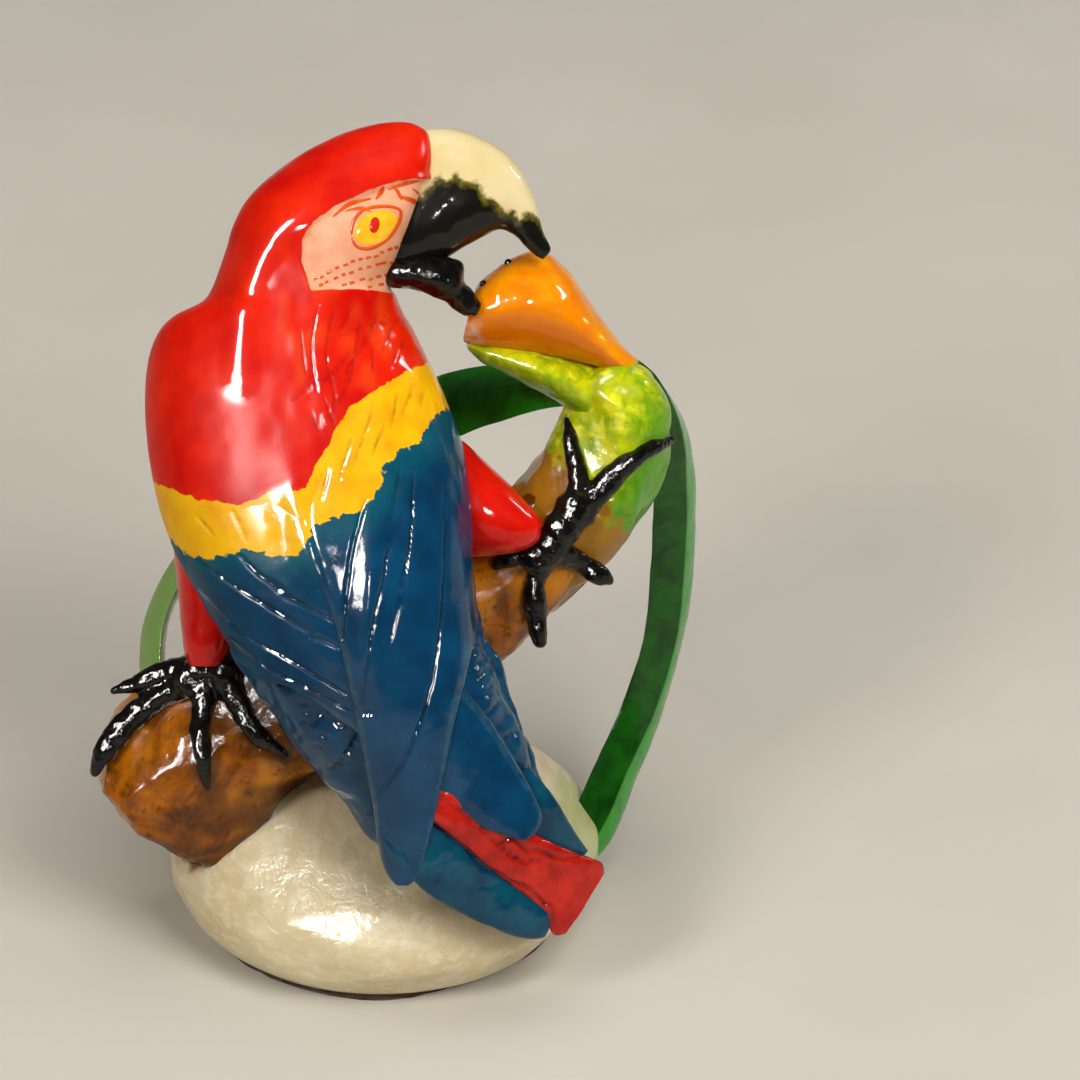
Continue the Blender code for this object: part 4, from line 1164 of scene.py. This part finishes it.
def makeThighs():
    for name, stations in thighs.items():
        clay, t, angle = ballOf(110, 110)
        p = spanned(stations, t, angle, 2.1, 1.0, 0.12)
        p = hewn(clay, p, (0.08, 1.8, 3), (0.02, 0.7, 4))
        keep(name + "_red", clay, finishes["red"], "red", name)


makeThighs()

# tail feathers
tail = {
    "tail_feather_centre": [
        (4.3, 9.1, 2.9, 7.2, -20.6, 0.6),
        (5.8, 8.5, 3.7, 6.1, -20.4, 0.8),
        (8.3, 6.7, 5.9, 4.4, -19.4, 0.8),
        (11.4, 4.8, 8.5, 2.1, -17.8, 0.8),
        (14.2, 3.5, 11.1, -0.1, -16.0, 0.85),
        (15.3, 3.0, 11.9, -1.9, -15.1, 0.8),
        (15.5, 2.2, 12.9, -1.9, -14.9, 0.5),
    ],
    "tail_feather_left": [
        (2.9, 7.1, 0.2, 4.9, -19.6, 0.6),
        (4.7, 5.7, 1.4, 3.1, -19.4, 0.85),
        (6.8, 4.1, 3.4, 1.1, -18.5, 0.9),
        (8.6, 2.5, 5.7, -0.4, -17.4, 0.9),
        (10.4, 0.9, 8.3, -1.6, -16.4, 0.85),
        (11.9, -0.2, 10.4, -2.2, -15.6, 0.7),
        (12.0, -1.1, 11.4, -2.1, -15.3, 0.4),
    ],
    "tail_feather_right": [
        (10.3, 9.8, 7.7, 7.8, -18.3, 0.8),
        (11.4, 8.5, 8.3, 6.1, -18.0, 0.85),
        (12.4, 7.0, 9.4, 4.3, -17.4, 0.85),
        (13.5, 5.2, 11.4, 3.1, -16.2, 0.75),
        (14.4, 3.8, 13.3, 2.8, -15.2, 0.45),
    ],
}


# cracked seams on either side of the red feather, and one across its end
cuts["seams"] = [
    [(4.0, 6.0), (5.1, 4.8), (6.0, 4.2), (7.1, 3.0), (8.3, 2.4), (9.2, 1.8), (10.3, 1.4), (11.3, 0.3),
     (11.9, 0.1), (11.9, -1.4)],
    [(4.5, 7.7), (5.8, 6.7), (7.1, 5.7), (8.3, 4.6), (9.2, 4.9), (10.3, 4.0), (10.9, 4.1), (12.2, 3.5),
     (13.8, 3.5)],
    [(8.3, 4.6), (9.4, 3.5), (11.1, 3.3)],
]


def makeTail():
    for name, stations in tail.items():
        clay, t, angle = ballOf(150, 220)
        p = spanned(stations, t, angle, 3.2, 1.0, 0.05)
        p = hewn(clay, p, (0.07, 1.5, 3), (0.03, 0.6, 4))
        red = name == "tail_feather_centre"
        n = normalsOf(clay)
        seams, seamMark = carve(p, ["seams"], 0.22, 0.17)
        p = p - n * (seams * facing(n))[:, None]
        setPoints(clay, p)
        edge = np.maximum(seamMark * 1.2, step(0.45, 0.1, np.abs(np.sin(angle))) * (np.cos(angle) < 0))
        finish = finishes["tailRed" if red else "tailBlue"]
        keep(name + "_cut", clay, finish, "red" if red else "blue", name, marks={"edge": edge})


makeTail()

# feet: toes laid on the wood
# pieces joined for straight looks at them
def treeOf(*names):
    joined = bmesh.new()
    for name in names:
        joined.from_mesh(pieces[name].data)
    tree = BVHTree.FromBMesh(joined)
    joined.free()
    return tree


into = Vector(toFrame([(0, 1, 0)])[0] - toFrame([(0, 0, 0)])[0]).normalized()


# depth at which a straight look meets the piece, from the near (1) or far (-1) side
def landOn(tree, x, v, side=1):
    start = -45.0 if side > 0 else 15.0
    origin = Vector(toFrame([(x, start, v)])[0])
    hit = tree.ray_cast(origin, into * side)
    return None if hit[0] is None else start + hit[3] * 1000 * side


feet = {
    "foot_right": {
        "hub": [(12.6, 26.0), (13.4, 27.1), (11.8, 24.8), (10.9, 24.1)],
        "toes": [
            [(13.3, 26.9, 1.0), (13.7, 29.2, 0.78), (13.3, 31.5, 0.62), (12.9, 33.5, 0.3)],
            [(12.9, 26.2, 1.15), (14.8, 28.2, 1.0), (16.6, 30.0, 0.82), (18.5, 31.3, 0.62),
             (20.3, 32.2, 0.28)],
            [(12.4, 24.5, 1.0), (14.1, 23.5, 0.72), (15.0, 22.9, 0.85), (15.8, 22.4, 0.42)],
            [(11.8, 24.6, 1.05), (10.7, 22.4, 0.8), (10.7, 20.5, 0.92), (11.1, 18.3, 0.45)],
            [(11.8, 24.8, 1.0), (9.8, 24.1, 0.72), (8.2, 23.6, 0.5)],
            [(13.5, 27.4, 1.35), (13.7, 27.1, 1.25)],
        ],
        "edgeDepth": -13.0,
    },
    "foot_left": {
        "hub": [(-11.6, 16.6), (-12.4, 16.0), (-10.9, 16.2), (-13.1, 15.5)],
        "toes": [
            [(-11.6, 16.4, 1.1), (-13.8, 16.1, 1.05), (-16.0, 15.5, 0.85), (-18.5, 14.7, 0.35)],
            [(-12.4, 15.4, 1.1), (-15.0, 14.6, 0.95), (-17.5, 12.6, 0.95), (-19.0, 10.7, 0.85),
             (-19.8, 9.1, 0.4)],
            [(-12.0, 15.5, 1.1), (-12.3, 13.1, 0.8), (-12.2, 10.7, 0.68), (-11.9, 8.1, 0.28)],
            [(-11.1, 16.0, 1.1), (-9.8, 13.7, 0.85), (-8.4, 11.8, 0.72), (-6.5, 10.3, 0.3)],
            [(-15.2, 14.8, 0.9), (-16.5, 13.2, 0.6), (-17.5, 12.0, 0.3)],
        ],
        "edgeDepth": -12.0,
    },
}


def makeFeet():
    tree = treeOf("branch_wood", "stem_green")
    for name, spec in feet.items():
        foot = bmesh.new()
        for toe in spec["toes"]:
            line = drawnOut(toe, 7)
            keys = []
            for x, v, r in line:
                depth = landOn(tree, x, v)
                depth = spec["edgeDepth"] if depth is None else min(depth, spec["edgeDepth"])
                keys.append((x, depth - 0.45 * r, v, r))
            keys = np.array(keys)
            for _ in range(2):
                keys[1:-1, 1] = (keys[:-2, 1] + keys[1:-1, 1] + keys[2:, 1]) / 3
            for x, d, v, r in keys:
                ball = bmesh.ops.create_icosphere(foot, subdivisions=2, radius=r)
                bmesh.ops.translate(foot, verts=ball["verts"], vec=(x, d, v))
        for x, v in spec["hub"]:
            depth = landOn(tree, x, v) or spec["edgeDepth"]
            ball = bmesh.ops.create_icosphere(foot, subdivisions=2, radius=1.35)
            bmesh.ops.translate(foot, verts=ball["verts"], vec=(x, depth - 0.6, v))
        mesh = bpy.data.meshes.new(name + "_clay")
        foot.to_mesh(mesh)
        foot.free()
        lump = inScene(name + "_clay", mesh)
        skin = lump.modifiers.new("skin", "REMESH")
        skin.mode = "VOXEL"
        skin.voxel_size = 0.13
        graph = bpy.context.evaluated_depsgraph_get()
        clay = bmesh.new()
        clay.from_mesh(lump.evaluated_get(graph).to_mesh())
        bpy.data.objects.remove(lump, do_unlink=True)
        bmesh.ops.smooth_vert(clay, verts=clay.verts, factor=0.5,
                              use_axis_x=True, use_axis_y=True, use_axis_z=True)
        p = np.array([v.co for v in clay.verts])
        n = normalsOf(clay)
        p += n * (0.15 * lumps(p, 1.1, 3) + 0.06 * lumps(p, 0.45, 4))[:, None]
        setPoints(clay, p)
        keep(name + "_toes", clay, finishes["black"], "black", name)


makeFeet()
print("feet done")

# paint strokes round the eye and on the cheek
faceTree = treeOf("macaw_head_torso")


# a brush stroke lying on the head
def stroke(paint, line, widths, rise, side):
    keys = [(*point, width) for point, width in zip(line, widths)]
    rows = drawnOut(keys, 8) if len(keys) > 2 else through(keys, np.linspace(0, 1, 9))
    middle = []
    for x, v, w in rows:
        depth = landOn(faceTree, x, v, side)
        if depth is not None:
            middle.append((x, depth, v, max(w, 0.04)))
    if len(middle) < 4:
        return
    middle = np.array(middle)
    ahead = np.gradient(middle[:, [0, 2]], axis=0)
    ahead /= np.linalg.norm(ahead, axis=1)[:, None] + 1e-9
    clay, t, angle = ballOf(14, 40)
    at = t * (len(middle) - 1)
    m = through(middle, at)
    a = through(np.column_stack([middle, ahead]), at)[:, 4:6]
    close = capped(t, 0.3)
    across = np.cos(angle) * m[:, 3] / 2 * close
    p = np.stack([m[:, 0] - a[:, 1] * across, m[:, 1], m[:, 2] + a[:, 0] * across], 1)
    for i in range(len(p)):
        depth = landOn(faceTree, p[i, 0], p[i, 2], side)
        p[i, 1] = m[i, 1] if depth is None else depth
    p[:, 1] -= rise * np.sin(angle) * close
    setPoints(clay, p)
    joinTo(paint, clay)


strokes = {}


def joinTo(paint, clay):
    mesh = bpy.data.meshes.new("stroke")
    clay.to_mesh(mesh)
    clay.free()
    strokes.setdefault(paint, bmesh.new()).from_mesh(mesh)
    bpy.data.meshes.remove(mesh)


# a flat dab of paint, rounder in the middle
def patchOn(paint, centre, half, turn, rise, side):
    clay, t, angle = ballOf(28, 16)
    r = np.sin(t * math.pi)
    x = r * np.cos(angle) * half[0]
    v = r * np.sin(angle) * half[1]
    c, s = math.cos(turn), math.sin(turn)
    p = np.stack([centre[0] + x * c - v * s, np.zeros(len(x)), centre[1] + x * s + v * c], 1)
    for i in range(len(p)):
        depth = landOn(faceTree, p[i, 0], p[i, 2], side)
        p[i, 1] = -23.0 if depth is None else depth
    p[:, 1] -= rise * side * np.cos(t * math.pi)
    setPoints(clay, p)
    joinTo(paint, clay)


face = {
    "lid": [(-1.61, 45.70), (-1.47, 46.65), (-0.80, 47.39), (0.28, 47.66), (1.36, 47.59), (1.70, 47.19),
        (1.36, 46.24), (0.68, 45.36), (-0.39, 44.83), (-1.27, 44.96), (-1.61, 45.70)],
    "lidWidths": [0.24, 0.26, 0.20, 0.26, 0.20, 0.24, 0.26, 0.20, 0.26, 0.22, 0.24],
    "brows": [
        ([(-2.89, 46.92), (-1.74, 47.79), (-0.26, 48.20)], (0.08, 0.22, 0.08)),
        ([(-2.08, 47.32), (-0.93, 47.52), (-0.26, 47.25)], (0.06, 0.20, 0.08)),
        ([(0.01, 48.13), (0.35, 48.60), (0.55, 49.01)], (0.08, 0.24, 0.10)),
        ([(0.82, 48.80), (1.90, 49.21), (2.98, 49.48)], (0.08, 0.22, 0.08)),
        ([(1.49, 48.40), (2.44, 48.13), (3.52, 47.73)], (0.08, 0.26, 0.10)),
        ([(1.09, 49.07), (1.49, 48.67), (1.76, 48.13)], (0.06, 0.18, 0.08)),
        ([(2.44, 48.94), (2.98, 48.53), (3.38, 48.00)], (0.06, 0.16, 0.06)),
    ],
    "cheek": [
        [(-4.24, 42.60), (-3.09, 43.27), (-1.61, 43.88), (-0.26, 44.29), (1.09, 44.83), (1.90, 45.57),
         (2.57, 46.51), (3.18, 47.19)],
        [(-3.90, 42.26), (-2.69, 42.80), (-1.34, 43.34), (0.01, 43.75), (1.09, 44.08), (1.76, 44.76),
         (2.37, 45.57)],
        [(-2.42, 42.26), (-1.07, 42.67), (0.14, 43.00), (1.09, 43.27), (1.63, 43.95)],
        [(-0.66, 42.20), (0.28, 42.46), (1.09, 42.73)],
    ],
}


def makeFace(side):
    patchOn("eyeYellow", [(0.01, 46.24)][0], (1.58, 1.05), 0.50, 0.05, side)
    stroke("eyeLine", face["lid"], face["lidWidths"], 0.07, side)
    patchOn("pupil", [(-0.06, 46.38)][0], (0.40, 0.62), -0.2, 0.09, side)
    for line, widths in face["brows"]:
        stroke("eyeLine", line, [w * 1.35 for w in widths], 0.05, side)
    # rows of small dashes across the cheek
    pick = np.random.default_rng(4)
    for row in face["cheek"]:
        line = drawnOut(row, 5)
        length = np.hypot(*np.diff(line[:, :2], axis=0).T).sum()
        count = int(length / 0.46)
        for k in range(count):
            at = (k + 0.3) / count * (len(line) - 1)
            a = through(line, [at])[0]
            b = through(line, [at + 0.45])[0]
            along = (b - a) / (np.hypot(*(b - a)) + 1e-9) * pick.uniform(0.22, 0.40)
            shift = pick.uniform(-0.07, 0.07, 2)
            dash = [tuple(a + shift), tuple(a + shift + along)]
            stroke("eyeLine", dash, (pick.uniform(0.16, 0.24), pick.uniform(0.13, 0.2)), 0.04, side)


makeFace(1)
makeFace(-1)
for paint, clay in strokes.items():
    keep("face_" + paint, clay, finishes[paint], "red")

# two black dots on the bud
budTree = treeOf("flower_bud_orange")


def makeBudDots():
    dots = bmesh.new()
    for x, v in bud["dots"]:
        depth = landOn(budTree, x, v)
        if depth is None:
            depth = -15.5
        ball = bmesh.ops.create_icosphere(dots, subdivisions=3, radius=0.27)
        bmesh.ops.translate(dots, verts=ball["verts"], vec=(x, depth, v))
    keep("flower_bud_dots", dots, finishes["black"], "black")


makeBudDots()
print("paint strokes done")

# floor, lights, camera


def makeFloor():
    floor = bmesh.new()
    bmesh.ops.create_grid(floor, x_segments=2, y_segments=2, size=1.5)
    mesh = bpy.data.meshes.new("floor")
    floor.to_mesh(mesh)
    floor.free()
    sheet = inScene("floor", mesh)
    f = Finish("paleFloor")
    colour = f.patches((40.0, 3.0), 0.3, 0.7, (0.55, 0.52, 0.46), (0.60, 0.565, 0.505))
    mesh.materials.append(f.finish(colour, 0.75, None, 0.0))


# each lamp either gives the highlights or lights the colours
studio = {
    "key": {"from": (-0.46, -0.62, 0.64), "far": 0.42, "size": (0.085, 0.26),
            "power": 7.6, "tint": (1.0, 0.97, 0.93), "shine": True},
    "front": {"from": (0.06, -0.87, 0.49), "far": 0.45, "size": (0.03, 0.05),
            "power": 0.65, "tint": (1.0, 0.98, 0.95), "shine": True},
    "rim": {"from": (0.80, 0.45, 0.45), "far": 0.50, "size": (0.02, 0.10),
            "power": 0.4, "tint": (1.0, 0.98, 0.95), "shine": True},
    "left": {"from": (-0.50, -0.50, 0.70), "far": 0.45, "size": (0.12, 0.12),
            "power": 0.75, "tint": (1.0, 0.96, 0.90), "shine": False},
    "top": {"from": (0.10, 0.10, 0.98), "far": 0.60, "size": (0.40, 0.40),
            "power": 1.55, "tint": (1.0, 0.98, 0.95), "shine": False},
    "fill": {"from": (0.50, -0.50, 0.70), "far": 0.60, "size": (0.30, 0.30),
            "power": 2.5, "tint": (1.0, 0.98, 0.95), "shine": False},
}


def makeLights():
    middle = Vector((0.0, 0.0, 0.028))
    for name, spec in studio.items():
        lamp = bpy.data.lights.new(name, "AREA")
        lamp.shape = "RECTANGLE"
        lamp.size, lamp.size_y = spec["size"]
        lamp.energy = spec["power"]
        lamp.color = spec["tint"]
        thing = inScene(name, lamp)
        thing.visible_glossy = spec["shine"]
        thing.visible_diffuse = not spec["shine"]
        way = Vector(spec["from"]).normalized()
        thing.location = middle + way * spec["far"]
        thing.rotation_euler = (-way).to_track_quat("-Z", "Y").to_euler()
    world = bpy.data.worlds.new("studio")
    bpy.context.scene.world = world
    world.use_nodes = True
    world.node_tree.nodes["Background"].inputs["Color"].default_value = (0.80, 0.78, 0.74, 1.0)
    world.node_tree.nodes["Background"].inputs["Strength"].default_value = 0.08


view = {"lens": 192.3, "sensor": 36.0, "across": 11.07, "up": 25.2, "back": -412.0}


def makeCamera():
    lens = bpy.data.cameras.new("camera")
    lens.lens = view["lens"]
    lens.sensor_width = view["sensor"]
    lens.clip_start = 0.01
    lens.clip_end = 20.0
    camera = inScene("camera", lens)
    stand = Vector(toFrame([(view["across"], view["back"], view["up"])])[0])
    aim = Vector(toFrame([(view["across"], 0.0, view["up"])])[0])
    camera.location = stand
    camera.rotation_euler = (aim - stand).to_track_quat("-Z", "Y").to_euler()
    bpy.context.scene.camera = camera


makeFloor()
makeLights()
makeCamera()
bpy.context.scene.view_settings.view_transform = "Standard"
print("stage set")
